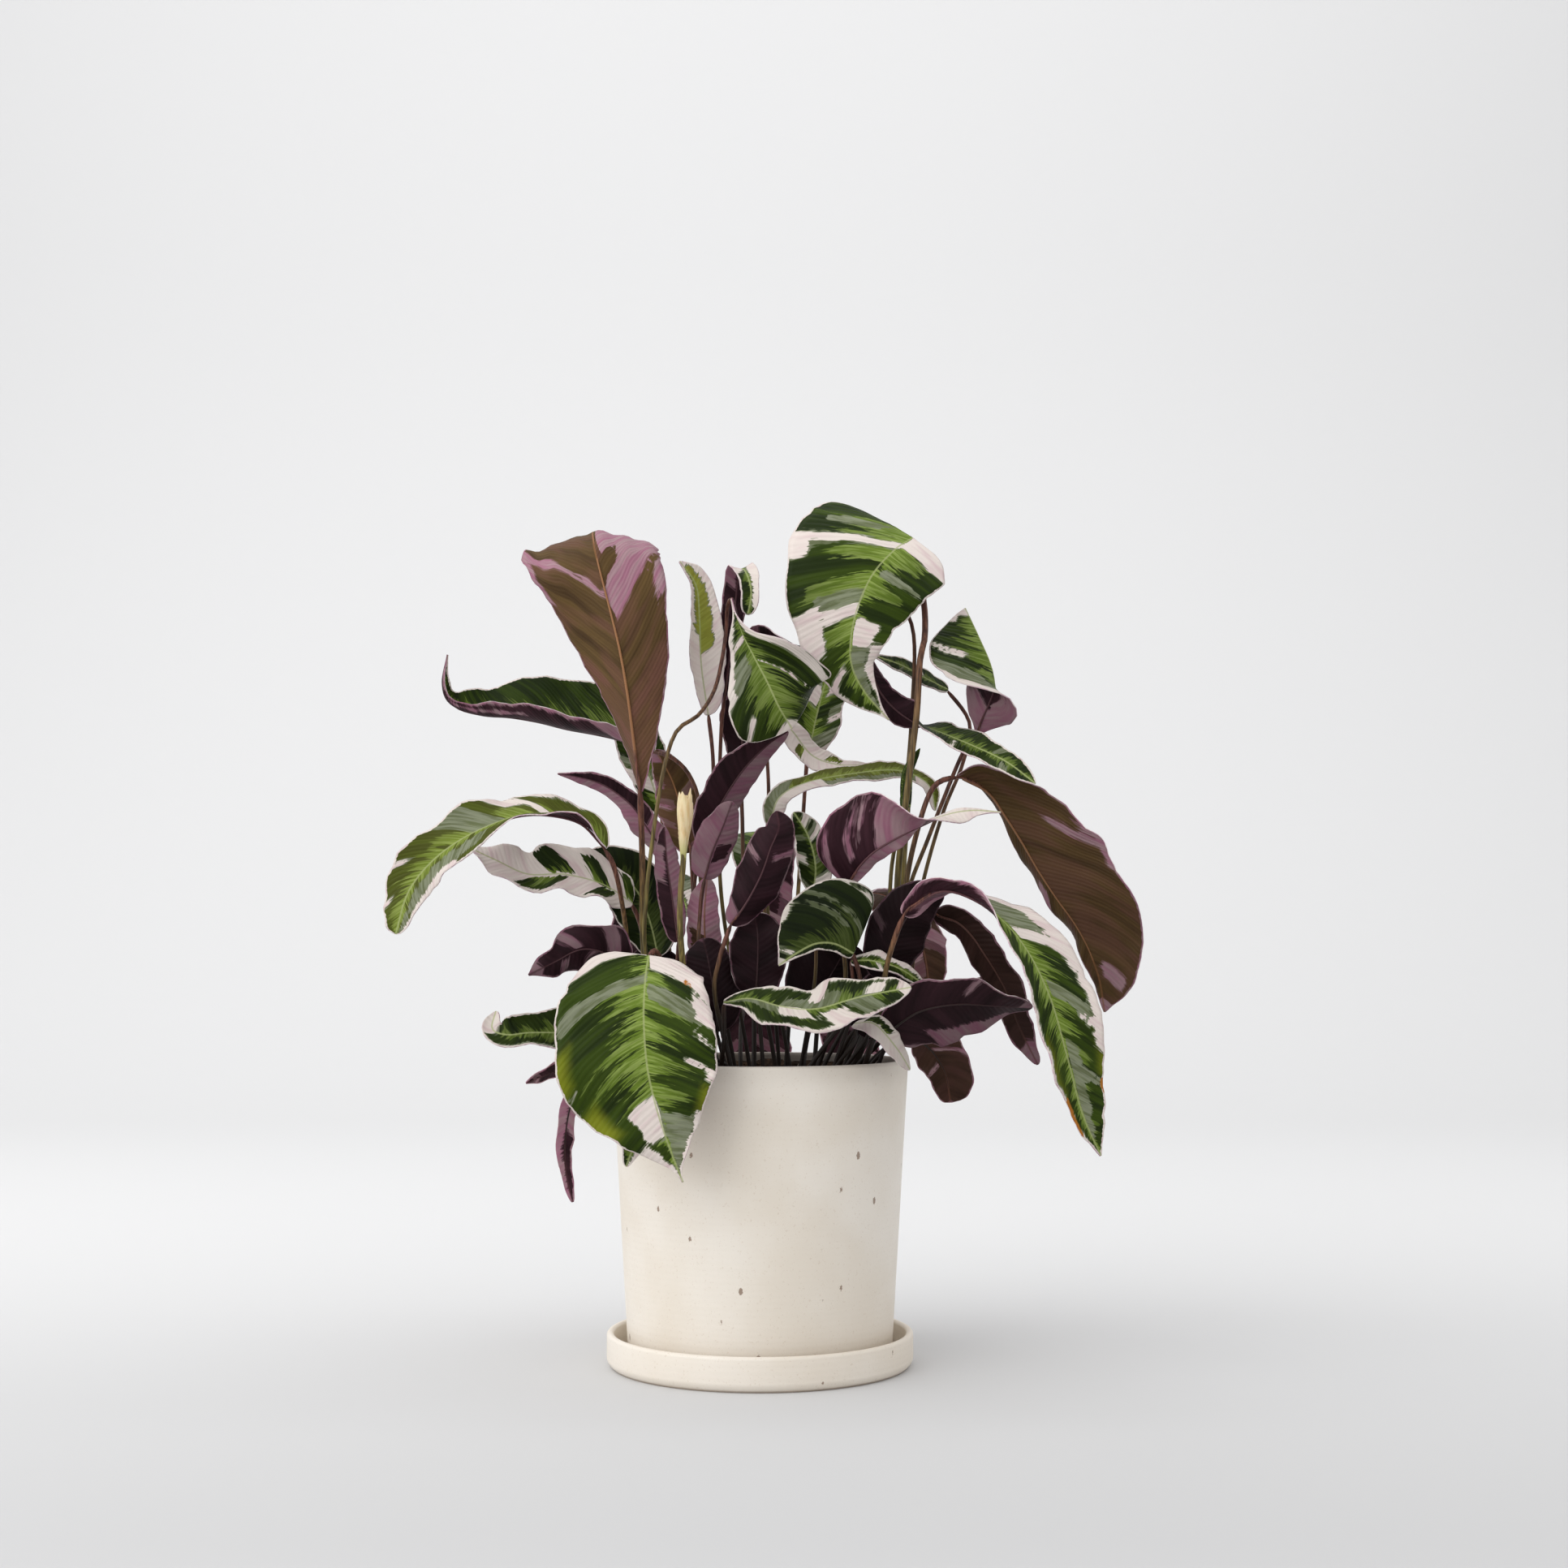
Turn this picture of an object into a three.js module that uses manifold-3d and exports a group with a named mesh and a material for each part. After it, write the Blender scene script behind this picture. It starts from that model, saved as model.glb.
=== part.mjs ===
// A potted white fusion calathea: a tapered stoneware pot on its saucer, filled with soil,
// with every leaf standing in the soil on its own stalk.
// Millimetres, +Z up. The origin is the middle of the saucer's underside, and the plant is seen
// from the front along +Y, with +X to the right.

import * as THREE from 'three';
import Module from 'manifold-3d';

const wasm = await Module();
wasm.setup();

// Driving dimensions
const SAUCER_RADIUS = 82;
const SAUCER_HEIGHT = 18;
const SAUCER_WALL = 4;
const SAUCER_FLOOR = 5;
const POT_RIM_RADIUS = 80;
const POT_BASE_RADIUS = 70.5;
const POT_RIM_HEIGHT = 162;
const POT_WALL = 5;
const POT_FLOOR = 7;
const DRAIN_RADIUS = 6;
const SOIL_TOP = 152;
const GAP = 0.3;
const EDGE = 1.4;
const SAUCER_FOOT_EDGE = 3;
const ROUND_SIDES = 36;

const BLADE_THICKNESS = 0.75;
const BLADE_STUB = 1.3;
const FULL_WAVE_WIDTH = 8;
const LEFT_WAVE_SHIFT = 0.37;
const STALK_DEPTH = 16;
const STALK_UPRIGHT = 4;
const STALK_SINK = 0.55;
const STALK_UNDER_RIB = 0.1;
const HOLE_CLEARANCE = 0.5;
const SPINDLE_SIDES = 6;
const SPINDLE_STEPS = 6;
const SPINDLE_TIP = 0.5;
const SPINDLE_FOOT = 0.35;
const SPINDLE_ROUNDING = 0.8;
const SPINDLE_SINK = 0.3;
const GRID_FINE = { along: 10, across: 6, stalkSteps: 8, stalkSides: 5 };
const GRID_PLAIN = { along: 6, across: 4, stalkSteps: 5, stalkSides: 4 };

const POT_BASE_HEIGHT = SAUCER_FLOOR + GAP;

// Colours of the sub-parts
const LEAF_GREEN = 0x4e6b22;
const LEAF_PURPLE = 0x5b3347;
const BUD_CREAM = 0xe6d3a0;
const SOIL_BROWN = 0x2e221a;
const STONEWARE = 0xe4dccd;

// Every leaf: root is where its stalk leaves the soil, stem is the stalk's bends, and rib is the
// midrib from base to tip. face is the way that the upper side faces, from base to tip. left and
// right are the two halves: greatest width, the angle at the midrib by the base and by the tip,
// and the angle that the half curls by on its way to the edge, in degrees. wave is the edge's
// height, its number of waves and where they start. shape sets how the width swells and
// tapers, and how long it stays full.
const LEAVES = [
  {
    name: 'leaf_upright_left', root: [-52, -12], radius: 1.8, fine: true,
    stem: [[-62, -16, 217], [-63, -22, 269]],
    rib: [[-64, -26, 305], [-73, -25, 369], [-83, -20, 411], [-90, -14, 437], [-93, 4, 451],
      [-93, 22, 449], [-92, 38, 428], [-91, 46, 410]],
    face: [[0.1, 1, 0], [0.05, 1, 0.05], [0.05, 1, 0], [0, 0.7, -0.7], [0, -0.3, -1]],
    left: [36, 10, 10, 14], right: [41, 60, -5, 14], wave: [1.5, 3, 0.1], shape: [0.95, 0.45, 1],
  },
  {
    name: 'leaf_left_high', root: [-16, 34], radius: 1.3, fine: true,
    stem: [[-33, 30, 253], [-34, 26, 298], [-40, 26, 318], [-51, 28, 329]],
    rib: [[-60, 32, 332], [-83, 36, 340], [-109, 38, 345], [-135, 38, 351], [-159, 36, 353],
      [-175, 32, 359], [-179, 28, 370], [-176, 26, 386]],
    face: [[0, -0.8, 0.6], [0, -0.85, 0.5], [0, -0.8, 0.6], [0.6, -0.7, 0.3]],
    left: [18, 40, 75, 60], right: [32, 6, 6, 8], wave: [1.2, 4, 0.3], shape: [0.7, 1.5, 1],
  },
  {
    name: 'leaf_left_arch', root: [-62, -6], radius: 1.4, fine: true,
    stem: [[-68, -10, 199], [-73, -26, 243], [-77, -34, 264]],
    rib: [[-81, -38, 274], [-93, -40, 287], [-118, -46, 292], [-142, -52, 285], [-165, -56, 271],
      [-181, -58, 252], [-188, -58, 229]],
    face: [[0, -0.4, 0.9], [0, -0.4, 0.9], [-0.1, -0.85, 0.5], [-0.3, -0.9, 0.3]],
    left: [12, 48, -8, -10], right: [16, 22, 6, 10], wave: [1.8, 4, 0.2], shape: [0.5, 0.5, 1.3],
  },
  {
    name: 'leaf_left_pale', root: [-56, 6], radius: 1.3,
    stem: [[-63, 2, 199], [-64, -6, 230]],
    rib: [[-69, -10, 246], [-85, -18, 256], [-105, -22, 261], [-124, -24, 261], [-140, -26, 268],
      [-155, -26, 275]],
    face: [[0.1, -0.75, 0.6], [0, -0.8, 0.6], [0, -0.7, 0.7]],
    left: [13, 5, 5, 10], right: [16, 10, 10, 20], wave: [2.2, 4, 0], shape: [0.5, 0.75, 1],
  },
  {
    name: 'leaf_left_dark', root: [-42, 6], radius: 1.3,
    stem: [[-51, 6, 195]],
    rib: [[-56, 10, 217], [-61, 12, 237], [-68, 12, 253], [-81, 10, 265], [-100, 8, 271]],
    face: [[-0.2, -0.9, 0.3], [-0.2, -0.9, 0.3], [-0.2, -0.9, 0.3]],
    left: [17, 6, 6, 10], right: [17, 6, 6, 10], wave: [1.2, 3, 0.2], shape: [0.5, 0.8, 1.5],
  },
  {
    name: 'leaf_left_mid', root: [-38, 20], radius: 1.2,
    stem: [[-45, 27, 207], [-45, 24, 248]],
    rib: [[-47, 18, 269], [-60, 14, 284], [-71, 10, 300], [-86, 6, 311], [-99, 2, 315],
      [-111, 0, 317]],
    face: [[0.1, 0.9, 0.5], [0, 0.8, 0.6], [0, 0.7, 0.7]],
    left: [7, 5, 5, 15], right: [8, 5, 5, 15], wave: [1, 3, 0.5], shape: [0.5, 0.8, 1],
  },
  {
    name: 'leaf_top_right', root: [40, -6], radius: 1.9, fine: true,
    stem: [[69, -8, 208], [75, -10, 269], [81, -10, 318], [85, -9, 349], [87, -6, 378],
      [90, -2, 392], [90, 3, 411], [86, 6, 432]],
    rib: [[84, 4, 448], [73, -6, 439], [60, -12, 423], [51, -14, 400], [49, -12, 378],
      [56, -8, 362], [70, -4, 346]],
    face: [[0.1, -0.8, 0.6], [0, -1, 0.2], [0, -1, 0], [0, -1, -0.1]],
    left: [33, 4, 4, -12], right: [53, 4, 4, -22], wave: [2.2, 3, 0.15], shape: [0.3, 1.35, 1],
  },
  {
    name: 'leaf_centre_face', root: [-48, -32], radius: 1.2, fine: true,
    stem: [[-60, -34, 217], [-60, -36, 247], [-57, -36, 277], [-54, -34, 300], [-50, -32, 322],
      [-44, -30, 338], [-33, -22, 347], [-25, -9, 362], [-21, 0, 381], [-19, 2, 397],
      [-18, -3, 410]],
    rib: [[-15, -16, 411], [-10, -27, 392], [-3, -31, 377], [4, -33, 363], [10, -33, 350],
      [17, -27, 339]],
    face: [[-0.2, -1, 0.1], [0, -1, 0.1], [0, -1, 0.1], [0.1, -1, 0], [0, -1, -0.3]],
    left: [33, 130, -45, -8], right: [26, 0, 4, -10], wave: [1.6, 3, 0.4], shape: [2.1, 0.5, 1],
  },
  {
    name: 'leaf_small_curled', root: [-6, 18], radius: 1.2,
    stem: [[-21, 18, 243], [-23, 16, 297], [-22, 14, 342]],
    rib: [[-20, 12, 359], [-17, 12, 387], [-14, 10, 414], [-12, 2, 429], [-8, -10, 426],
      [-5, -16, 414], [-7, -16, 402]],
    face: [[0, 1, 0], [0, 0.9, 0.3], [0, -0.4, 0.9], [0.1, -1, 0]],
    left: [6, 10, 10, 20], right: [7, 10, 10, 20], wave: [0.8, 3, 0.2], shape: [0.7, 0.4, 1],
  },
  {
    name: 'leaf_pale_upright', root: [-14, 10], radius: 1.2,
    stem: [[-31, 6, 252], [-26, 4, 314]],
    rib: [[-29, 9, 350], [-33, 10, 378], [-34, 10, 403], [-36, 8, 422], [-45, 4, 435]],
    face: [[-0.1, -1, 0.1], [-0.1, -1, 0.1], [0.1, -1, 0.2]],
    left: [5, 20, 20, 30], right: [14, 10, 10, 10], wave: [0.8, 3, 0.6], shape: [0.55, 0.75, 1],
  },
  {
    name: 'leaf_back_dark_edge', root: [8, 40], radius: 1.3,
    stem: [[-8, 44, 244], [-11, 46, 299]],
    rib: [[-12, 50, 325], [-10, 54, 353], [-4, 52, 376], [5, 44, 393], [16, 30, 393],
      [24, 22, 386]],
    face: [[-0.2, 0.9, 0.2], [-0.2, 0.9, 0.3], [0, 0.5, 0.8], [0.3, -0.1, 0.9]],
    left: [15, 6, 6, 12], right: [15, 6, 6, 12], wave: [1.5, 3, 0], shape: [0.6, 0.5, 1],
  },
  {
    name: 'leaf_diagonal_dark', root: [-18, -8], radius: 1.2,
    stem: [[-35, -6, 217], [-36, 0, 256]],
    rib: [[-32, 2, 278], [-23, -2, 298], [-10, -6, 318], [4, -10, 332], [15, -12, 339]],
    face: [[-0.4, 0.85, 0.3], [-0.4, 0.85, 0.3], [-0.4, 0.8, 0.4]],
    left: [12, 8, 8, 10], right: [12, 8, 8, 10], wave: [0.8, 2, 0.2], shape: [0.5, 0.7, 1],
  },
  {
    name: 'leaf_mauve_mid', root: [-22, -26], radius: 1.2,
    stem: [[-32, -22, 212], [-32, -18, 243]],
    rib: [[-30, -16, 259], [-26, -16, 273], [-20, -18, 287], [-15, -22, 300]],
    face: [[-0.2, 0.9, 0.1], [-0.2, 0.9, 0.2]],
    left: [11, 10, 10, 10], right: [11, 10, 10, 10], wave: [1, 2, 0.1], shape: [0.5, 0.6, 1],
  },
  {
    name: 'leaf_thin_arch', root: [16, 30], radius: 1.2,
    stem: [[3, 34, 230], [3, 36, 271]],
    rib: [[5, 36, 290], [10, 38, 306], [26, 40, 315], [51, 42, 320], [77, 42, 322], [94, 40, 314],
      [98, 38, 299]],
    face: [[0.2, -0.6, 0.8], [0, -0.6, 0.8], [0, -0.7, 0.7], [0.3, -0.8, 0.4]],
    left: [8, 0, 0, 0], right: [7, 0, 0, 0], wave: [0.8, 4, 0.2], shape: [0.45, 0.6, 1],
  },
  {
    name: 'leaf_back_pale', root: [10, 52], radius: 1.2,
    stem: [[3, 54, 253], [4, 54, 309], [3, 58, 337]],
    rib: [[6, 62, 350], [16, 64, 348], [29, 60, 332], [45, 54, 326], [60, 50, 326]],
    face: [[0, -0.8, 0.6], [0, -0.8, 0.5], [0, -0.8, 0.6]],
    left: [6, 5, 5, 10], right: [8, 5, 5, 10], wave: [1.2, 3, 0], shape: [0.5, 0.7, 1],
  },
  {
    name: 'leaf_right_small_face', root: [46, 28], radius: 1.3,
    stem: [[75, 28, 216], [82, 28, 253], [93, 28, 282], [102, 26, 305], [112, 24, 329]],
    rib: [[120, 18, 340], [124, 12, 351], [129, 8, 363], [127, 6, 377], [121, 10, 393],
      [114, 18, 411]],
    face: [[0.2, 1, -0.1], [1, 0.3, 0.2], [0.2, -1, 0.1], [0.1, -1, 0], [0, -1, -0.1]],
    left: [31, 35, 0, 0], right: [26, 10, -150, 0], wave: [1.2, 3, 0.4], shape: [1.1, 0.7, 1],
  },
  {
    name: 'leaf_twisted_right', root: [34, 12], radius: 1.2,
    stem: [[66, 20, 217], [73, 22, 270], [80, 22, 307], [84, 20, 352], [85, 18, 397],
      [75, 16, 414], [62, 14, 401]],
    rib: [[60, 15, 382], [64, 14, 367], [75, 12, 353], [87, 8, 345], [103, -4, 337],
      [117, -20, 329], [131, -36, 320], [145, -45, 308]],
    face: [[-0.3, 0.9, 0.3], [-0.2, 0.8, 0.5], [0, -0.5, 0.8], [0, -0.8, 0.5], [0, -0.8, 0.5]],
    left: [9, 20, 10, 0], right: [10, 20, 10, 0], wave: [1.2, 4, 0.2], shape: [0.45, 0.5, 1],
  },
  {
    name: 'leaf_narrow_right', root: [50, 32], radius: 1.2,
    stem: [[82, 40, 216], [92, 42, 262], [103, 42, 299], [114, 42, 326], [118, 42, 349]],
    rib: [[106, 42, 368], [93, 38, 374], [79, 34, 381], [64, 32, 386]],
    face: [[0, -0.7, 0.7], [0, -0.8, 0.6], [0, -0.8, 0.6]],
    left: [5, 0, 0, 0], right: [6, 0, 0, 0], wave: [0.8, 3, 0.2], shape: [0.5, 0.7, 1],
  },
  {
    name: 'leaf_right_arch', root: [54, -8], radius: 1.6, fine: true,
    stem: [[76, -10, 208], [78, -14, 252], [85, -14, 286], [94, -10, 309]],
    rib: [[107, -8, 315], [121, -10, 309], [137, -17, 285], [153, -24, 256], [170, -29, 230],
      [179, -30, 208], [183, -26, 188]],
    face: [[0.1, 0.6, 0.8], [0.4, 0.8, 0.4], [0.5, 0.8, 0.2], [0.3, 0.9, 0.1]],
    left: [11, 20, 20, 30], right: [41, 2, 2, -12], wave: [2, 4, 0.1], shape: [0.75, 0.9, 2.2],
  },
  {
    name: 'leaf_mid_right_purple', root: [30, -22], radius: 1.4,
    stem: [[45, -24, 200], [43, -26, 234]],
    rib: [[46, -28, 255], [56, -32, 269], [69, -36, 278], [83, -38, 285], [96, -40, 291],
      [111, -41, 294], [127, -42, 293]],
    face: [[-0.3, 0.9, 0.1], [-0.3, 0.9, 0.1], [-0.2, 0.9, 0.2], [0, -0.1, 1], [0.1, -0.8, 0.6],
      [0.1, -0.8, 0.6]],
    left: [6, 10, 10, 10], right: [29, 0, 0, 10], wave: [1.8, 3, 0.3], shape: [0.6, 1.7, 1],
  },
  {
    name: 'leaf_centre_purple', root: [-14, -48], radius: 1.3,
    stem: [[-23, -50, 196], [-21, -52, 215]],
    rib: [[-15, -52, 234], [-7, -54, 245], [1, -56, 260], [6, -58, 274], [10, -58, 284],
      [9, -54, 293]],
    face: [[-0.2, 0.95, 0.2], [-0.2, 0.95, 0.1], [-0.1, 0.9, -0.2]],
    left: [14, 10, 10, 20], right: [13, 16, 16, 40], wave: [1.6, 3, 0.2], shape: [0.6, 0.55, 1],
  },
  {
    name: 'leaf_small_behind', root: [22, 10], radius: 1.1,
    stem: [[30, 8, 208]],
    rib: [[29, 6, 252], [30, 4, 267], [26, 4, 283], [18, 2, 296]],
    face: [[0, -1, 0.2], [0, -1, 0.2]],
    left: [9, 5, 5, 5], right: [9, 5, 5, 5], wave: [1, 2, 0], shape: [0.5, 0.6, 1],
  },
  {
    name: 'leaf_centre_dark_face', root: [24, -46], radius: 1.3,
    stem: [[51, -47, 196]],
    rib: [[49, -50, 219], [39, -54, 224], [29, -58, 224], [19, -62, 219], [10, -64, 213]],
    face: [[0, -1, 0.15], [0, -1, 0.15], [0, -1, 0.1], [0, -1, 0]],
    left: [3, 0, 0, 0], right: [34, 4, 4, -10], wave: [1.2, 3, 0.4], shape: [0.3, 1, 1],
  },
  {
    name: 'leaf_centre_low', root: [-20, -58], radius: 1.3,
    stem: [[-18, -64, 175]],
    rib: [[-18, -68, 194], [-4, -74, 196], [12, -78, 192], [29, -82, 191], [51, -84, 197],
      [77, -84, 202]],
    face: [[-0.2, -0.7, 0.7], [0, -0.7, 0.7], [0, -0.75, 0.65]],
    left: [12, 8, 8, 10], right: [17, 6, 6, 5], wave: [1.6, 3, 0], shape: [0.9, 0.7, 1],
  },
  {
    name: 'leaf_small_white_green', root: [38, -40], radius: 1.1,
    stem: [[49, -42, 191]],
    rib: [[48, -44, 215], [59, -46, 215], [73, -46, 211], [87, -44, 202]],
    face: [[0, -0.7, 0.7], [0, -0.7, 0.7]],
    left: [6, 0, 0, 0], right: [5, 0, 0, 0], wave: [0.8, 2, 0.2], shape: [0.45, 0.7, 1],
  },
  {
    name: 'leaf_low_right_dark', root: [50, -26], radius: 1.3,
    stem: [[61, -34, 170]],
    rib: [[66, -52, 178], [82, -56, 189], [102, -58, 193], [123, -58, 192], [141, -56, 191]],
    face: [[0, 0.8, 0.6], [0, 0.8, 0.6], [0, 0.3, 0.9]],
    left: [25, 4, 4, -10], right: [15, 8, 8, 10], wave: [1.5, 3, 0.3], shape: [0.45, 0.7, 1],
  },
  {
    name: 'leaf_right_low_back', root: [58, 4], radius: 1.2,
    stem: [[85, 6, 181]],
    rib: [[94, 2, 192], [111, -2, 196], [129, -4, 197], [147, -6, 190]],
    face: [[0, 0.8, 0.6], [0, 0.8, 0.6]],
    left: [8, 5, 5, 5], right: [8, 5, 5, 5], wave: [1, 2, 0.2], shape: [0.5, 0.7, 1],
  },
  {
    name: 'leaf_hanging_dark', root: [62, -16], radius: 1.2,
    stem: [[79, -18, 199], [84, -18, 230]],
    rib: [[93, -20, 240], [108, -22, 234], [120, -24, 218], [131, -24, 199], [138, -22, 180],
      [148, -20, 160]],
    face: [[0.3, 0.8, 0.6], [0.5, 0.8, 0.2], [0.4, 0.8, 0]],
    left: [10, 5, 5, 5], right: [9, 5, 5, 5], wave: [1.2, 4, 0.1], shape: [0.45, 0.6, 1],
  },
  {
    name: 'leaf_right_droop', root: [54, -40], radius: 1.5, fine: true,
    stem: [[63, -50, 187], [66, -58, 213]],
    rib: [[74, -64, 239], [89, -68, 251], [110, -74, 247], [132, -80, 226], [146, -84, 199],
      [155, -84, 168], [163, -80, 139], [173, -74, 117]],
    face: [[-0.3, 0.7, 0.6], [0, -0.4, 0.9], [0.1, -0.9, 0.4], [0, -1, 0.1]],
    left: [23, 4, 4, 0], right: [14, 14, 14, 30], wave: [2, 4, 0.3], shape: [0.5, 1, 2.6],
  },
  {
    name: 'leaf_back_low_right', root: [44, 42], radius: 1.2,
    stem: [[56, 60, 175], [69, 76, 180]],
    rib: [[90, 84, 169], [99, 90, 162], [107, 94, 149], [110, 94, 132]],
    face: [[0.1, 0.9, 0.3], [0.2, 1, 0.1]],
    left: [12, 5, 5, 10], right: [17, 5, 5, 10], wave: [1, 3, 0.2], shape: [0.4, 0.4, 1],
  },
  {
    name: 'leaf_lilac_low', root: [38, -52], radius: 1.1,
    stem: [[49, -58, 174]],
    rib: [[49, -62, 183], [59, -70, 183], [70, -66, 171], [78, -50, 159]],
    face: [[0, -0.6, 0.8], [0.3, -0.9, 0.3]],
    left: [6, 0, 0, 0], right: [6, 0, 0, 0], wave: [0.6, 2, 0.2], shape: [0.4, 0.7, 1],
  },
  {
    name: 'leaf_low_green_edge', root: [58, 22], radius: 1.1,
    stem: [[75, 24, 172]],
    rib: [[80, 28, 180], [92, 34, 178], [102, 38, 167]],
    face: [[0, 0.5, 0.9], [0.2, 0.6, 0.8]],
    left: [7, 0, 0, 0], right: [7, 0, 0, 0], wave: [0.8, 2, 0.2], shape: [0.5, 0.7, 1],
  },
  {
    name: 'leaf_front_broad', root: [-34, -52], radius: 1.6, fine: true,
    stem: [[-39, -58, 171], [-49, -62, 209], [-53, -66, 220]],
    rib: [[-56, -74, 218], [-57, -86, 207], [-57, -98, 187], [-55, -104, 165], [-51, -106, 147],
      [-45, -106, 128], [-37, -104, 107]],
    face: [[0, -0.5, 0.85], [0, -0.9, 0.4], [0, -1, 0.1], [0, -1, 0]],
    left: [35, 2, 2, -8], right: [44, 4, 4, -6], wave: [2.4, 4, 0.2], shape: [0.25, 2.2, 4.5],
  },
  {
    name: 'leaf_small_tip', root: [-44, -44], radius: 1.1,
    stem: [[-51, -54, 171], [-56, -74, 172]],
    rib: [[-59, -84, 161], [-60, -88, 144], [-61, -88, 128], [-66, -88, 113]],
    face: [[0, -0.9, 0.4], [0, -1, 0]],
    left: [6, 0, 0, 0], right: [7, 0, 0, 0], wave: [0.8, 2, 0.2], shape: [0.45, 0.6, 1],
  },
  {
    name: 'leaf_left_low', root: [-60, -22], radius: 1.2,
    stem: [[-69, -24, 165]],
    rib: [[-82, -34, 172], [-100, -44, 177], [-118, -52, 178], [-130, -56, 177], [-138, -54, 180],
      [-137, -48, 189]],
    face: [[0, -0.7, 0.7], [0, -0.8, 0.6], [-0.2, -0.8, 0.6]],
    left: [11, 5, 5, 20], right: [12, 10, 10, 20], wave: [1.2, 3, 0.2], shape: [0.45, 0.75, 1],
  },
  {
    name: 'leaf_left_low_tip', root: [-62, 12], radius: 1.1,
    stem: [[-71, 12, 171]],
    rib: [[-87, 4, 164], [-103, -6, 159], [-115, -12, 154], [-125, -16, 150]],
    face: [[0, 0.7, 0.7], [0, 0.7, 0.7]],
    left: [5, 5, 5, 5], right: [6, 5, 5, 5], wave: [0.8, 3, 0.2], shape: [0.45, 0.7, 1],
  },
  {
    name: 'leaf_left_hanging', root: [-64, -4], radius: 1.1,
    stem: [[-72, -12, 169]],
    rib: [[-84, -26, 167], [-94, -34, 153], [-100, -36, 136], [-102, -36, 117], [-101, -34, 102],
      [-98, -32, 89]],
    face: [[-0.3, 0.6, 0.8], [-0.3, 0.9, 0], [-0.3, 0.9, 0]],
    left: [3.5, 0, 0, 10], right: [4, 0, 0, 10], wave: [1.4, 4, 0.2], shape: [0.45, 0.6, 1],
  },
  {
    name: 'leaf_left_mid_folded', root: [-56, -30], radius: 1.2,
    stem: [[-63, -34, 191]],
    rib: [[-70, -46, 212], [-82, -54, 220], [-93, -58, 221], [-105, -60, 215], [-119, -60, 208]],
    face: [[0, 0.8, 0.5], [0, 0.85, 0.4], [0, 0.8, 0.5]],
    left: [14, 10, 10, 20], right: [14, 6, 6, 10], wave: [3, 3, 0.2], shape: [0.45, 1, 1],
  },
  {
    name: 'leaf_lilac_vertical', root: [-32, -20], radius: 1.1,
    stem: [[-43, -20, 199]],
    rib: [[-44, -20, 225], [-47, -18, 247], [-50, -16, 267], [-52, -12, 287]],
    face: [[-0.3, 0.9, 0.1], [-0.3, 0.9, 0]],
    left: [7, 10, 10, 10], right: [7, 10, 10, 10], wave: [0.8, 2, 0.2], shape: [0.5, 0.6, 1],
  },
  {
    name: 'leaf_brown_behind', root: [-30, 38], radius: 1.2,
    stem: [[-37, 44, 230]],
    rib: [[-40, 48, 276], [-45, 52, 297], [-51, 54, 317], [-61, 56, 335]],
    face: [[-0.1, 1, 0.1], [-0.1, 1, 0.1]],
    left: [12, 6, 6, 10], right: [12, 6, 6, 10], wave: [1, 2, 0.2], shape: [0.5, 0.6, 1],
  },
  {
    name: 'leaf_pale_under', root: [-26, -2], radius: 1.1,
    stem: [[-27, -4, 190]],
    rib: [[-28, -8, 212], [-30, -10, 230], [-30, -8, 245], [-29, -2, 260]],
    face: [[-0.1, 1, 0], [-0.1, 1, 0.1]],
    left: [8, 6, 6, 10], right: [8, 6, 6, 10], wave: [0.8, 2, 0.2], shape: [0.5, 0.5, 1],
  },
  {
    name: 'leaf_inner_round', root: [2, -40], radius: 1.2,
    stem: [[0, -40, 183]],
    rib: [[-2, -40, 197], [-1, -42, 214], [-1, -42, 229], [-3, -38, 240]],
    face: [[0, 1, 0.1], [0, 1, 0.1]],
    left: [14, 6, 6, -20], right: [14, 6, 6, -20], wave: [1.6, 3, 0.2], shape: [0.4, 0.45, 1],
  },
  {
    name: 'leaf_back_left', root: [-36, 44], radius: 1.4,
    stem: [[-38, 54, 200]],
    rib: [[-40, 64, 240], [-56, 92, 262], [-70, 122, 256], [-80, 152, 226], [-84, 170, 186]],
    face: [[-0.3, 0.4, 0.9], [-0.4, 0.8, 0.4], [-0.4, 0.9, 0.1]],
    left: [17, 4, 4, -8], right: [17, 4, 4, -8], wave: [1.8, 3, 0.2], shape: [0.45, 0.6, 1],
  },
  {
    name: 'leaf_back_middle', root: [-4, 44], radius: 1.4,
    stem: [[-4, 56, 210]],
    rib: [[-4, 68, 262], [-2, 92, 288], [0, 122, 286], [2, 152, 256], [4, 170, 214]],
    face: [[0, 0.3, 0.9], [0, 0.8, 0.5], [0, 0.95, 0.1]],
    left: [18, 4, 4, -8], right: [18, 4, 4, -8], wave: [1.8, 3, 0.5], shape: [0.45, 0.6, 1],
  },
  {
    name: 'leaf_back_right', root: [30, 46], radius: 1.4,
    stem: [[34, 58, 200]],
    rib: [[40, 70, 232], [60, 96, 254], [82, 124, 248], [98, 150, 222], [104, 166, 184]],
    face: [[0.3, 0.4, 0.9], [0.4, 0.8, 0.4], [0.4, 0.9, 0.1]],
    left: [17, 4, 4, -8], right: [17, 4, 4, -8], wave: [1.8, 3, 0.8], shape: [0.45, 0.6, 1],
  },
  {
    name: 'leaf_back_hang_left', root: [-50, 34], radius: 1.3,
    stem: [[-52, 58, 172]],
    rib: [[-54, 84, 184], [-60, 104, 180], [-66, 118, 156], [-70, 124, 116]],
    face: [[-0.2, 0.5, 0.8], [-0.2, 1, 0.1]],
    left: [17, 2, 2, -6], right: [17, 2, 2, -6], wave: [1.5, 3, 0.1], shape: [0.45, 0.6, 1],
  },
  {
    name: 'leaf_back_hang_middle', root: [-12, 60], radius: 1.3,
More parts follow.
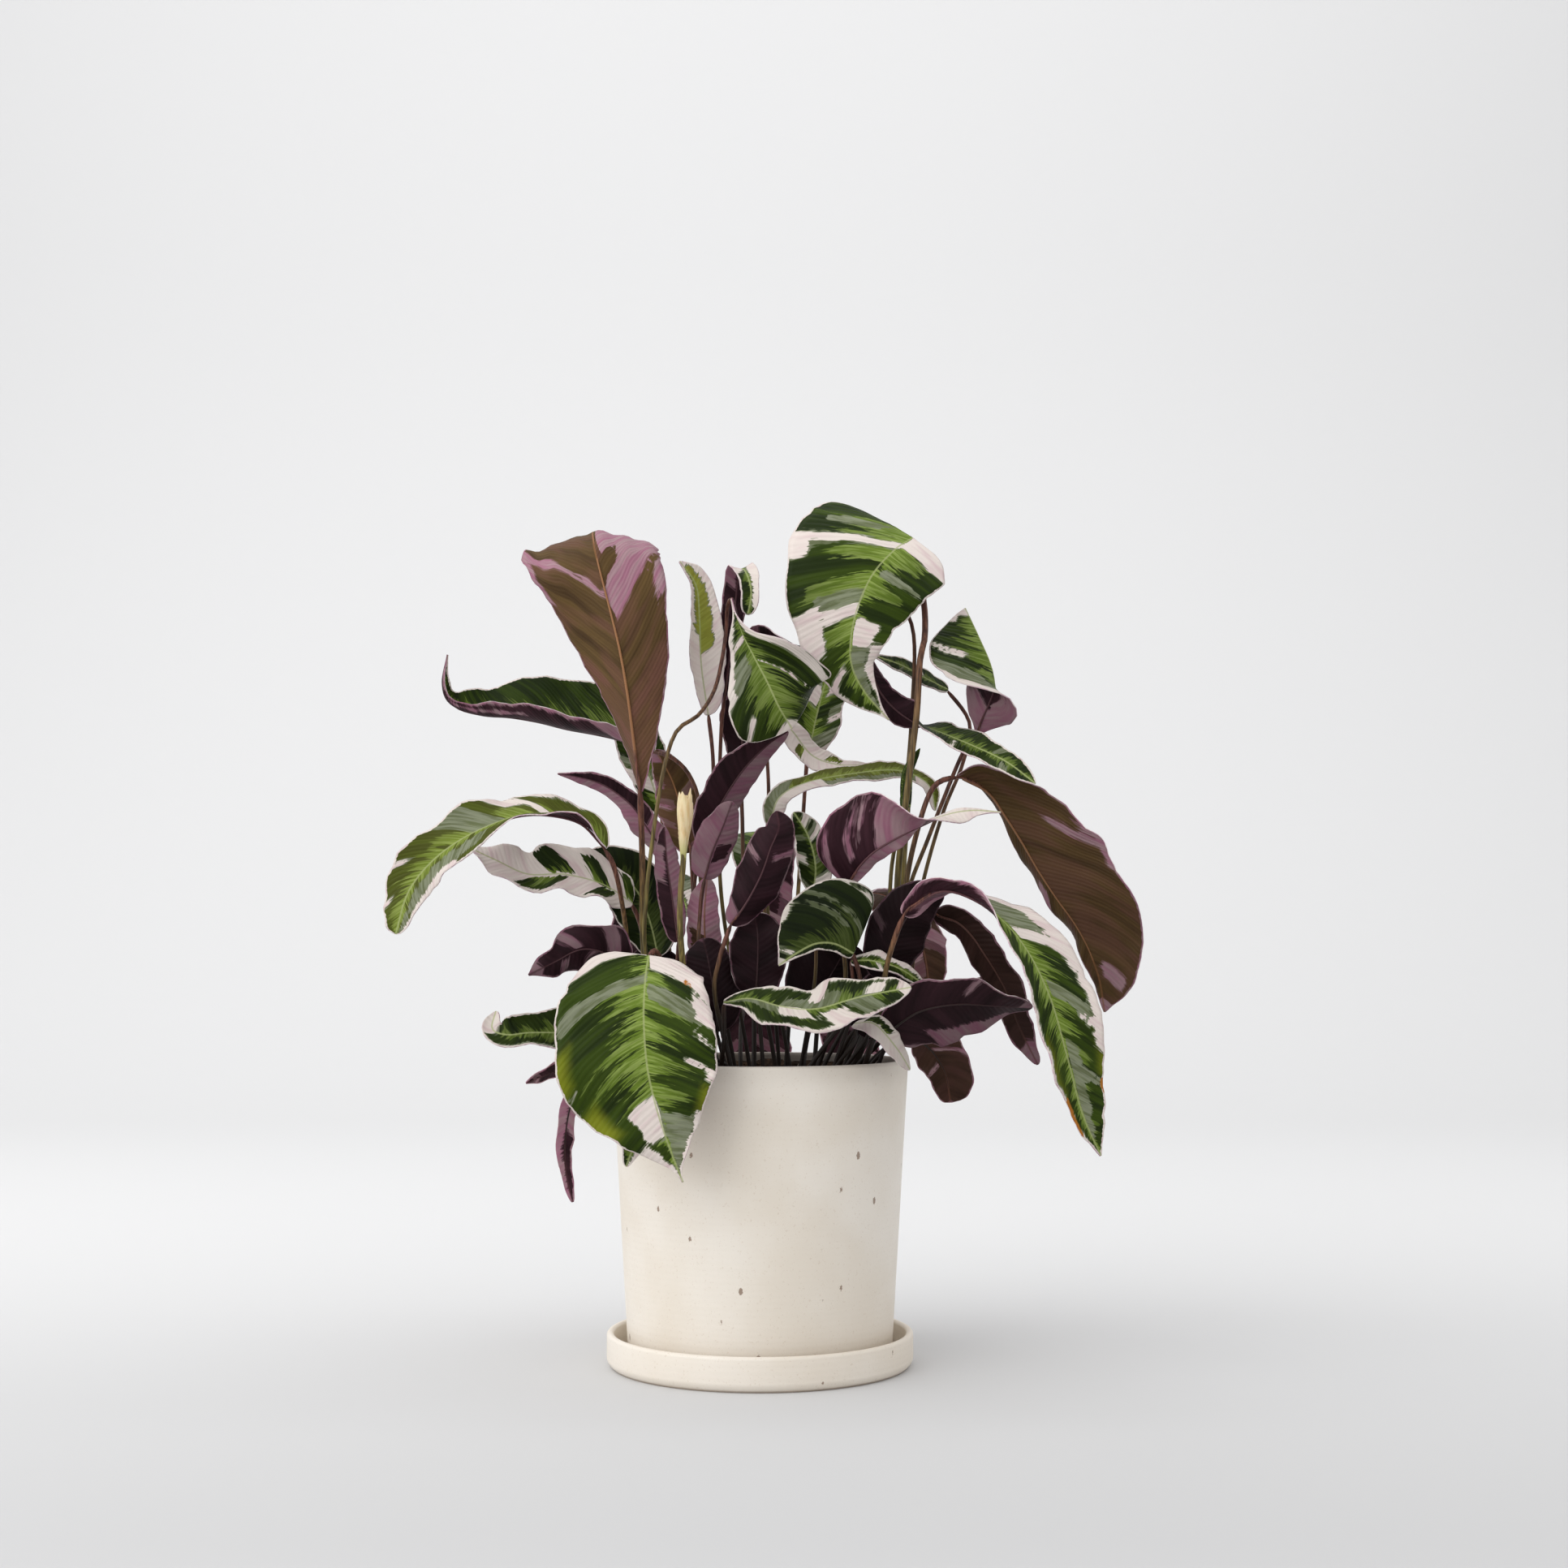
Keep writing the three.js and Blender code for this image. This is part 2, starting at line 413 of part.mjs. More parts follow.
    stem: [[-12, 74, 176]],
    rib: [[-10, 92, 190], [-6, 112, 186], [-4, 126, 160], [0, 132, 118]],
    face: [[0, 0.5, 0.8], [0, 1, 0.1]],
    left: [20, 2, 2, -6], right: [20, 2, 2, -6], wave: [1.5, 3, 0.4], shape: [0.45, 0.6, 1],
  },
  {
    name: 'leaf_back_hang_right', root: [24, 58], radius: 1.3,
    stem: [[28, 74, 176]],
    rib: [[36, 92, 188], [46, 110, 182], [54, 122, 156], [60, 128, 116]],
    face: [[0.2, 0.5, 0.8], [0.2, 1, 0.1]],
    left: [17, 2, 2, -6], right: [17, 2, 2, -6], wave: [1.5, 3, 0.7], shape: [0.45, 0.6, 1],
  },
  {
    name: 'leaf_back_upright_left', root: [-46, 48], radius: 1.3,
    stem: [[-54, 54, 240]],
    rib: [[-58, 74, 300], [-72, 84, 340], [-84, 90, 372], [-92, 90, 398]],
    face: [[0.1, -0.9, 0.3], [0.1, -0.9, 0.3]],
    left: [13, 6, 6, 6], right: [13, 6, 6, 6], wave: [1.4, 3, 0.3], shape: [0.5, 0.6, 1],
  },
  {
    name: 'leaf_back_upright_right', root: [14, 58], radius: 1.3,
    stem: [[20, 70, 240]],
    rib: [[26, 82, 330], [34, 88, 366], [44, 88, 400], [54, 80, 430]],
    face: [[-0.1, -0.95, 0.2], [-0.1, -0.95, 0.2]],
    left: [15, 6, 6, 6], right: [15, 6, 6, 6], wave: [1.4, 3, 0.6], shape: [0.5, 0.6, 1],
  },
  {
    name: 'leaf_inner_left', root: [-14, -26], radius: 1.1,
    stem: [[-24, -30, 165]],
    rib: [[-22, -34, 178], [-24, -38, 198], [-27, -38, 215], [-30, -34, 227]],
    face: [[0, 1, 0.1], [0, 1, 0.1]],
    left: [15, 6, 6, 10], right: [15, 6, 6, 10], wave: [1.2, 3, 0.2], shape: [0.45, 0.5, 1],
  },
  {
    name: 'leaf_inner_right', root: [40, -22], radius: 1.1,
    stem: [[45, -26, 170]],
    rib: [[50, -28, 179], [60, -28, 188], [70, -27, 197], [79, -25, 204]],
    face: [[0, 0.9, 0.3], [0, 0.9, 0.3]],
    left: [17, 6, 6, 10], right: [17, 6, 6, 10], wave: [1.2, 3, 0.2], shape: [0.45, 0.6, 1],
  },
  {
    name: 'leaf_inner_back', root: [22, 36], radius: 1.1,
    stem: [[25, 36, 167]],
    rib: [[27, 36, 179], [33, 36, 196], [42, 34, 212], [49, 30, 225]],
    face: [[0, 1, 0.1], [0, 1, 0.1]],
    left: [22, 6, 6, 10], right: [22, 6, 6, 10], wave: [1.2, 3, 0.2], shape: [0.45, 0.42, 1],
  },
  {
    name: 'leaf_inner_back_left', root: [-42, 30], radius: 1.1,
    stem: [[-46, 32, 167]],
    rib: [[-49, 32, 180], [-54, 32, 196], [-60, 30, 212], [-62, 26, 223]],
    face: [[0, 1, 0.1], [0, 1, 0.1]],
    left: [17, 6, 6, 10], right: [17, 6, 6, 10], wave: [1.2, 3, 0.2], shape: [0.45, 0.5, 1],
  },
  {
    name: 'leaf_right_dark_base', root: [44, -32], radius: 1.2,
    stem: [[58, -34, 178]],
    rib: [[64, -33, 205], [71, -35, 225], [81, -35, 242], [97, -33, 252]],
    face: [[-0.1, 1, 0.1], [-0.1, 1, 0.1]],
    left: [15, 4, 4, 5], right: [16, 4, 4, 5], wave: [1.4, 3, 0.2], shape: [0.5, 0.6, 1],
  },
];

// The rolled new leaf and the cream flower bud: closed spindles, each on its own stalk. fullest
// is where along the body it is thickest.
const SPINDLES = [
  {
    name: 'leaf_new_rolled', colour: LEAF_GREEN, root: [50, 12], radius: 3.4, stalkRadius: 2.8,
    fullest: 0.35,
    stem: [[75, 14, 215], [78, 14, 270]],
    body: [[80, 14, 296], [81, 14, 318], [88, 13, 332]],
  },
  {
    name: 'flower_bud', colour: BUD_CREAM, root: [-34, -40], radius: 4.2, stalkRadius: 1.7,
    fullest: 0.68,
    stem: [[-41, -54, 230]],
    body: [[-39.5, -56, 267], [-38.5, -56, 306]],
  },
];

const vector = ([x, y, z]) => new THREE.Vector3(x, y, z);
const radians = (degrees) => THREE.MathUtils.degToRad(degrees);

function smoothCurve(points) {
  return new THREE.CatmullRomCurve3(points, false, 'catmullrom', 0.5);
}

function finish(name, geometry, colour, roughness) {
  const material = new THREE.MeshStandardMaterial({ color: colour, roughness, metalness: 0 });
  const mesh = new THREE.Mesh(geometry, material);
  mesh.name = name;
  return mesh;
}

// Closed geometry to a solid for cutting and joining, and back.
function toSolid(geometry) {
  const position = geometry.attributes.position;
  const corners = new Map();
  const vertices = [];
  const triangles = [];
  for (let i = 0; i < geometry.index.count; i += 1) {
    const at = geometry.index.getX(i);
    const place = [position.getX(at), position.getY(at), position.getZ(at)];
    const key = place.map((value) => Math.round(value * 1e4)).join(' ');
    if (!corners.has(key)) {
      corners.set(key, corners.size);
      vertices.push(...place);
    }
    triangles.push(corners.get(key));
  }
  const kept = [];
  for (let i = 0; i < triangles.length; i += 3) {
    const [a, b, c] = triangles.slice(i, i + 3);
    if (a !== b && b !== c && c !== a) kept.push(a, b, c);
  }
  return new wasm.Manifold(new wasm.Mesh({
    numProp: 3,
    vertProperties: new Float32Array(vertices),
    triVerts: new Uint32Array(kept),
  }));
}

function fromSolid(solid) {
  const mesh = solid.getMesh();
  const geometry = new THREE.BufferGeometry();
  geometry.setAttribute('position', new THREE.BufferAttribute(mesh.vertProperties, 3));
  geometry.setIndex(new THREE.BufferAttribute(mesh.triVerts, 1));
  return geometry;
}

function indexed(geometry) {
  if (geometry.index) return geometry;
  const order = [...Array(geometry.attributes.position.count).keys()];
  geometry.setIndex(order);
  return geometry;
}

// A turned piece: its profile is a closed loop of radius and height.
function turned(profile) {
  const closed = profile[0][0] === 0 ? profile : [...profile, profile[0]];
  const loop = closed.map(([radius, height]) => new THREE.Vector2(radius, height));
  const geometry = new THREE.LatheGeometry(loop, ROUND_SIDES);
  geometry.rotateX(Math.PI / 2);
  return geometry;
}

function polygon(radius, sides) {
  const corners = [];
  for (let i = 0; i < sides; i += 1) {
    const angle = (i / sides) * 2 * Math.PI;
    corners.push(new THREE.Vector2(radius * Math.cos(angle), radius * Math.sin(angle)));
  }
  return new THREE.Shape(corners);
}

// A round rod along a curve.
function rod(points, radius, grid) {
  const section = polygon(radius, grid.stalkSides);
  const path = smoothCurve(points);
  const shape = { steps: grid.stalkSteps, extrudePath: path };
  return indexed(new THREE.ExtrudeGeometry(section, shape));
}

// The midrib's frame at a share of its length: place, forward, upper side and right-hand side.
function ribFrame(leaf, along) {
  const place = leaf.curve.getPointAt(along);
  const forward = leaf.curve.getTangentAt(along);
  const step = along * (leaf.face.length - 1);
  const first = Math.min(Math.floor(step), leaf.face.length - 2);
  const up = vector(leaf.face[first]).lerp(vector(leaf.face[first + 1]), step - first);
  up.addScaledVector(forward, -up.dot(forward)).normalize();
  const right = forward.clone().cross(up);
  return { place, forward, up, right };
}

// How wide the blade is at a share of its length, as a share of its greatest half width.
function outline(leaf, along) {
  const [swell, taper, fullness] = leaf.shape;
  const profile = (share) => share ** swell * (1 - share ** fullness) ** taper;
  const widest = (swell / (swell + taper * fullness)) ** (1 / fullness);
  return profile(along) / profile(widest);
}

// A point of the blade's middle surface: across runs from -1, the left edge, to 1, the right.
function bladePoint(leaf, along, across) {
  const { place, up, right } = ribFrame(leaf, along);
  const side = across < 0 ? -1 : 1;
  const [width, foldBase, foldTip, curl] = across < 0 ? leaf.left : leaf.right;
  const reach = Math.abs(across);
  const half = BLADE_STUB + width * outline(leaf, along);
  const start = radians(THREE.MathUtils.lerp(foldBase, foldTip, along));
  const turn = radians(curl) || 1e-4;
  const out = (Math.sin(start + turn * reach) - Math.sin(start)) / turn;
  const rise = (Math.cos(start) - Math.cos(start + turn * reach)) / turn;
  const [height, count, phase] = leaf.wave;
  const beat = Math.sin(2 * Math.PI * (count * along + phase + (side < 0 ? LEFT_WAVE_SHIFT : 0)));
  const lift = height * beat * reach * reach * Math.min(1, half / FULL_WAVE_WIDTH);
  return place.clone()
    .addScaledVector(right, side * half * out)
    .addScaledVector(up, half * rise + lift);
}

function bladeNormal(leaf, along, across) {
  const step = 0.01;
  const ahead = bladePoint(leaf, Math.min(along + step, 1), across);
  const behind = bladePoint(leaf, Math.max(along - step, 0), across);
  const rightward = bladePoint(leaf, along, Math.min(across + step, 1));
  const leftward = bladePoint(leaf, along, Math.max(across - step, -1));
  return rightward.sub(leftward).cross(ahead.sub(behind)).normalize();
}

// The blade: one grid for each side of it, split alike, and a rim between their edges.
function blade(leaf, grid) {
  const columns = grid.across + 1;
  const rows = grid.along + 1;
  const layer = rows * columns;
  const places = [];
  for (const offset of [BLADE_THICKNESS / 2, -BLADE_THICKNESS / 2]) {
    for (let row = 0; row < rows; row += 1) {
      for (let column = 0; column < columns; column += 1) {
        const along = row / grid.along;
        const across = (2 * column) / grid.across - 1;
        const point = bladePoint(leaf, along, across);
        point.addScaledVector(bladeNormal(leaf, along, across), offset);
        places.push(point.x, point.y, point.z);
      }
    }
  }
  const faces = [];
  const quad = (a, b, c, d) => faces.push(a, b, c, a, c, d);
  for (let row = 0; row < grid.along; row += 1) {
    for (let column = 0; column < grid.across; column += 1) {
      const a = row * columns + column;
      const b = a + 1;
      const c = b + columns;
      const d = a + columns;
      quad(a, b, c, d);
      faces.push(layer + a, layer + c, layer + b, layer + a, layer + d, layer + c);
    }
  }
  const border = [];
  for (let column = 0; column < columns; column += 1) border.push(column);
  for (let row = 1; row < rows; row += 1) border.push(row * columns + columns - 1);
  const last = (rows - 1) * columns;
  for (let column = columns - 2; column >= 0; column -= 1) border.push(last + column);
  for (let row = rows - 2; row > 0; row -= 1) border.push(row * columns);
  border.forEach((from, i) => {
    const to = border[(i + 1) % border.length];
    quad(from, layer + from, layer + to, to);
  });
  const geometry = new THREE.BufferGeometry();
  geometry.setAttribute('position', new THREE.Float32BufferAttribute(places, 3));
  geometry.setIndex(faces);
  return geometry;
}

// A stalk stands upright in the soil; a hole for it goes deeper than its foot.
function stalkFoot([x, y], deeper) {
  return [
    new THREE.Vector3(x, y, SOIL_TOP - STALK_DEPTH - deeper),
    new THREE.Vector3(x, y, SOIL_TOP + STALK_UPRIGHT),
  ];
}

// The stalk's route: up from the soil, through its bends to the blade's base, then just under
// the midrib, which it becomes.
function stalkRoute(leaf, foot) {
  const under = [0, STALK_UNDER_RIB / 2, STALK_UNDER_RIB].map((along) => {
    const { place, up } = ribFrame(leaf, along);
    return place.addScaledVector(up, -leaf.radius * STALK_SINK);
  });
  return [...stalkFoot(leaf.root, foot), ...leaf.stem.map(vector), ...under];
}

function leafSolid(leaf) {
  const grid = leaf.fine ? GRID_FINE : GRID_PLAIN;
  const stalk = rod(stalkRoute(leaf, 0), leaf.radius, grid);
  return toSolid(blade(leaf, grid)).add(toSolid(stalk));
}

// A body of round section along a curve, with a blunt tip.
function spindle({ body, radius, fullest }) {
  const path = smoothCurve(body.map(vector));
  const section = polygon(1, SPINDLE_SIDES);
  const shape = { steps: SPINDLE_STEPS, extrudePath: path };
  const geometry = indexed(new THREE.ExtrudeGeometry(section, shape));
  const position = geometry.attributes.position;
  const point = new THREE.Vector3();
  const rings = path.getSpacedPoints(SPINDLE_STEPS);
  const bias = Math.log(0.5) / Math.log(fullest);
  for (let i = 0; i < position.count; i += 1) {
    point.fromBufferAttribute(position, i);
    const distances = rings.map((centre) => centre.distanceTo(point));
    const ring = distances.indexOf(Math.min(...distances));
    const share = ring / SPINDLE_STEPS;
    const swell = Math.sin(Math.PI * share ** bias) ** SPINDLE_ROUNDING;
    const girth = share === 1 ? SPINDLE_TIP : radius * THREE.MathUtils.lerp(SPINDLE_FOOT, 1, swell);
    point.sub(rings[ring]).multiplyScalar(girth).add(rings[ring]);
    position.setXYZ(i, point.x, point.y, point.z);
  }
  return geometry;
}

function spindleStalk(piece, foot) {
  const [base, next] = piece.body.map(vector);
  const inside = base.clone().lerp(next, SPINDLE_SINK);
  return [...stalkFoot(piece.root, foot), ...piece.stem.map(vector), base, inside];
}

function stalkedSpindle(piece) {
  const stalk = rod(spindleStalk(piece, 0), piece.stalkRadius, GRID_PLAIN);
  return toSolid(spindle(piece)).add(toSolid(stalk));
}

// The pot's outside tapers in a straight line from the rim to the base.
function potRadius(height) {
  const share = (height - POT_BASE_HEIGHT) / (POT_RIM_HEIGHT - POT_BASE_HEIGHT);
  return POT_BASE_RADIUS + (POT_RIM_RADIUS - POT_BASE_RADIUS) * share;
}

function pot() {
  const floor = POT_BASE_HEIGHT + POT_FLOOR;
  return turned([
    [DRAIN_RADIUS, POT_BASE_HEIGHT],
    [POT_BASE_RADIUS - EDGE, POT_BASE_HEIGHT],
    [POT_BASE_RADIUS, POT_BASE_HEIGHT + EDGE],
    [potRadius(POT_RIM_HEIGHT - EDGE), POT_RIM_HEIGHT - EDGE],
    [POT_RIM_RADIUS - EDGE, POT_RIM_HEIGHT],
    [POT_RIM_RADIUS - POT_WALL + EDGE, POT_RIM_HEIGHT],
    [potRadius(POT_RIM_HEIGHT - EDGE) - POT_WALL, POT_RIM_HEIGHT - EDGE],
    [potRadius(floor) - POT_WALL, floor],
    [DRAIN_RADIUS, floor],
  ]);
}

function saucer() {
  const inner = SAUCER_RADIUS - SAUCER_WALL;
  return turned([
    [0, 0],
    [SAUCER_RADIUS - SAUCER_FOOT_EDGE, 0],
    [SAUCER_RADIUS, SAUCER_FOOT_EDGE],
    [SAUCER_RADIUS, SAUCER_HEIGHT - EDGE],
    [SAUCER_RADIUS - EDGE, SAUCER_HEIGHT],
    [inner + EDGE, SAUCER_HEIGHT],
    [inner, SAUCER_HEIGHT - EDGE],
    [inner, SAUCER_FLOOR],
    [0, SAUCER_FLOOR],
  ]);
}

// The soil fills the pot to below its rim, with a plain hole for each stalk.
function soil(stalks) {
  const bottom = POT_BASE_HEIGHT + POT_FLOOR + GAP;
  const wall = POT_WALL + GAP;
  let solid = toSolid(turned([
    [0, bottom],
    [potRadius(bottom) - wall, bottom],
    [potRadius(SOIL_TOP) - wall, SOIL_TOP],
    [0, SOIL_TOP],
  ]));
  for (const { points, radius, grid } of stalks) {
    solid = solid.subtract(toSolid(rod(points, radius + HOLE_CLEARANCE, grid)));
  }
  return fromSolid(solid);
}

for (const leaf of LEAVES) leaf.curve = smoothCurve(leaf.rib.map(vector));

const calathea = new THREE.Group();
calathea.add(finish('saucer', saucer(), STONEWARE, 0.5));
calathea.add(finish('pot', pot(), STONEWARE, 0.5));

const stalks = [];
for (const leaf of LEAVES) {
  const dark = leaf.name.includes('dark') || leaf.name.includes('purple');
  const colour = dark ? LEAF_PURPLE : LEAF_GREEN;
  calathea.add(finish(leaf.name, fromSolid(leafSolid(leaf)), colour, 0.55));
  const grid = leaf.fine ? GRID_FINE : GRID_PLAIN;
  stalks.push({ points: stalkRoute(leaf, HOLE_CLEARANCE), radius: leaf.radius, grid });
}
for (const piece of SPINDLES) {
  calathea.add(finish(piece.name, fromSolid(stalkedSpindle(piece)), piece.colour, 0.6));
  const points = spindleStalk(piece, HOLE_CLEARANCE);
  stalks.push({ points, radius: piece.stalkRadius, grid: GRID_PLAIN });
}
calathea.add(finish('soil', soil(stalks), SOIL_BROWN, 0.95));

export default calathea;
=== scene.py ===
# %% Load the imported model
import math
import random
import bpy
import bmesh
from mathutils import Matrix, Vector, noise


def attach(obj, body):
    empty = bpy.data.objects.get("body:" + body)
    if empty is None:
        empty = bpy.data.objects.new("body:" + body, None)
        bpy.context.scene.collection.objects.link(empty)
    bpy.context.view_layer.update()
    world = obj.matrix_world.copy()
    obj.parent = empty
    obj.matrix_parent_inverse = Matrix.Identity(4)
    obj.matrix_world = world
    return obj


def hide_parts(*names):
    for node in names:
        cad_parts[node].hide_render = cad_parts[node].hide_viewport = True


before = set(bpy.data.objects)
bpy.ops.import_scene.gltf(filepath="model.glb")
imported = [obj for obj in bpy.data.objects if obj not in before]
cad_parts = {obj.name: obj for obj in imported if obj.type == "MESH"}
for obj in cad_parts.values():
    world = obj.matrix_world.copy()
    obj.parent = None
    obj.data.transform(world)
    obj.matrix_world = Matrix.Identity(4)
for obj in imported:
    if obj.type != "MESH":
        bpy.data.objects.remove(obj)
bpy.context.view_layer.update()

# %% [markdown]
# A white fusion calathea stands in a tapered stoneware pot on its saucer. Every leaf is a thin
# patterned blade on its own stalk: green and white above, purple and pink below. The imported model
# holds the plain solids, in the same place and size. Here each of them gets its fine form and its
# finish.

MM = 0.001
BODY = "root"
print("nodes in the frame:", len(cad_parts))

# %% [markdown]
# The camera comes first, because everything is judged through it. The photograph was taken from
# a little above the rim of the pot with the lens tilted slightly up. A 50 mm lens 1.19 m away
# gives the same gentle perspective on the rim and on the saucer.

# %% Camera
CAMERA_PLACE = (0.0128, -1.187, 0.222)
CAMERA_TILT = math.radians(94.3)
camera_data = bpy.data.cameras.new("camera")
camera_data.lens = 50.0
camera_data.sensor_width = 36.0
camera = bpy.data.objects.new("camera", camera_data)
camera.location = CAMERA_PLACE
camera.rotation_euler = (CAMERA_TILT, 0.0, 0.0)
bpy.context.scene.collection.objects.link(camera)
bpy.context.scene.camera = camera
print("camera at", CAMERA_PLACE)

# %% [markdown]
# A studio for a pale pot is almost shadowless: a bright grey sky from all sides, one big soft lamp
# from the upper left and another that only lights the paper behind. A large lamp has soft shadows,
# which keeps the underside of the leaves readable.

# %% Sky and lamps
SKY = (0.80, 0.80, 0.81)
SKY_STRENGTH = 1.12


def lamp(name, place, aim, size, power):
    light = bpy.data.lights.new(name, "AREA")
    light.shape = "SQUARE"
    light.size = size
    light.energy = power
    thing = bpy.data.objects.new(name, light)
    thing.location = place
    thing.rotation_euler = (Vector(aim) - Vector(place)).to_track_quat("-Z", "Y").to_euler()
    bpy.context.scene.collection.objects.link(thing)
    print("lamp", name, "of", power, "watts")


world = bpy.data.worlds.new("studio")
world.use_nodes = True
background = world.node_tree.nodes["Background"]
background.inputs["Color"].default_value = (*SKY, 1.0)
background.inputs["Strength"].default_value = SKY_STRENGTH
bpy.context.scene.world = world
lamp("key", place=(-1.7, -1.3, 1.6), aim=(0, 0, 0.25), size=2.6, power=39)
lamp("backdrop", place=(-0.2, 0.9, 2.6), aim=(-0.2, 3.2, 1.5), size=4.2, power=54)
bpy.context.scene.view_settings.view_transform = "Standard"

# %% [markdown]
# Three small helpers serve every piece. Colours are written as on screen and turned into the linear
# values that Blender works with. An edited bmesh becomes a smooth mesh. A finished mesh becomes an
# object at the origin, unturned and unscaled, because all shapes are made in their place.

# %% Helpers for colours and meshes
def linear(hex_colour):
    """A screen colour such as "e9e1d4" as linear values with full alpha."""
    parts = [int(hex_colour[i:i + 2], 16) / 255 for i in (0, 2, 4)]
    return [c / 12.92 if c <= 0.04045 else ((c + 0.055) / 1.055) ** 2.4 for c in parts] + [1.0]


def bake_mesh(name, bm):
    """Turns an edited bmesh into a smooth-shaded mesh."""
    for face in bm.faces:
        face.smooth = True
    mesh = bpy.data.meshes.new(name)
    bm.to_mesh(mesh)
    bm.free()
    return mesh


def add_piece(name, mesh, materials):
    """Puts a finished mesh in the scene at the origin with its materials."""
    for material in materials:
        mesh.materials.append(material)
    piece = bpy.data.objects.new(name, mesh)
    bpy.context.scene.collection.objects.link(piece)
    return piece


# %% [markdown]
# The floor is a wide plain sheet of paper that turns up behind the plant in a large curve, so that
# the camera sees no horizon. It is a grid with one column, whose rows are moved along the curve.

# %% Paper floor
FLOOR_HALF = 6.0
FLOOR_FRONT = -3.5
FLOOR_ROWS = 60
SWEEP_START = 1.6
SWEEP_RADIUS = 1.6
PAPER_BEHIND = 5.56


def sweep_floor():
    bm = bmesh.new()
    bmesh.ops.create_grid(bm, x_segments=1, y_segments=FLOOR_ROWS, size=1.0)
    flat = SWEEP_START - FLOOR_FRONT
    for vert in bm.verts:
        run = (vert.co.y + 1) / 2 * (flat + PAPER_BEHIND)
        bend = min(max(run - flat, 0.0) / SWEEP_RADIUS, math.pi / 2)
        rest = max(run - flat - SWEEP_RADIUS * math.pi / 2, 0.0)
        y = FLOOR_FRONT + min(run, flat) + SWEEP_RADIUS * math.sin(bend)
        z = SWEEP_RADIUS * (1 - math.cos(bend)) + rest
        vert.co = (vert.co.x * FLOOR_HALF, y, z)
    return bake_mesh("floor", bm)


paper = bpy.data.materials.new("backdrop_paper")
paper.use_nodes = True
paper_shader = paper.node_tree.nodes["Principled BSDF"]
paper_shader.inputs["Base Color"].default_value = linear("cdcdcd")
paper_shader.inputs["Roughness"].default_value = 0.9
floor = add_piece("floor", sweep_floor(), [paper])
print("paper floor of", len(floor.data.polygons), "faces")

# %% [markdown]
# Every finish here is a small network of maths and noise. A helper that adds one node and joins
# its inputs keeps each recipe as short as a formula: numbers and colours are set on the socket,
# and the output of another node is linked to it.

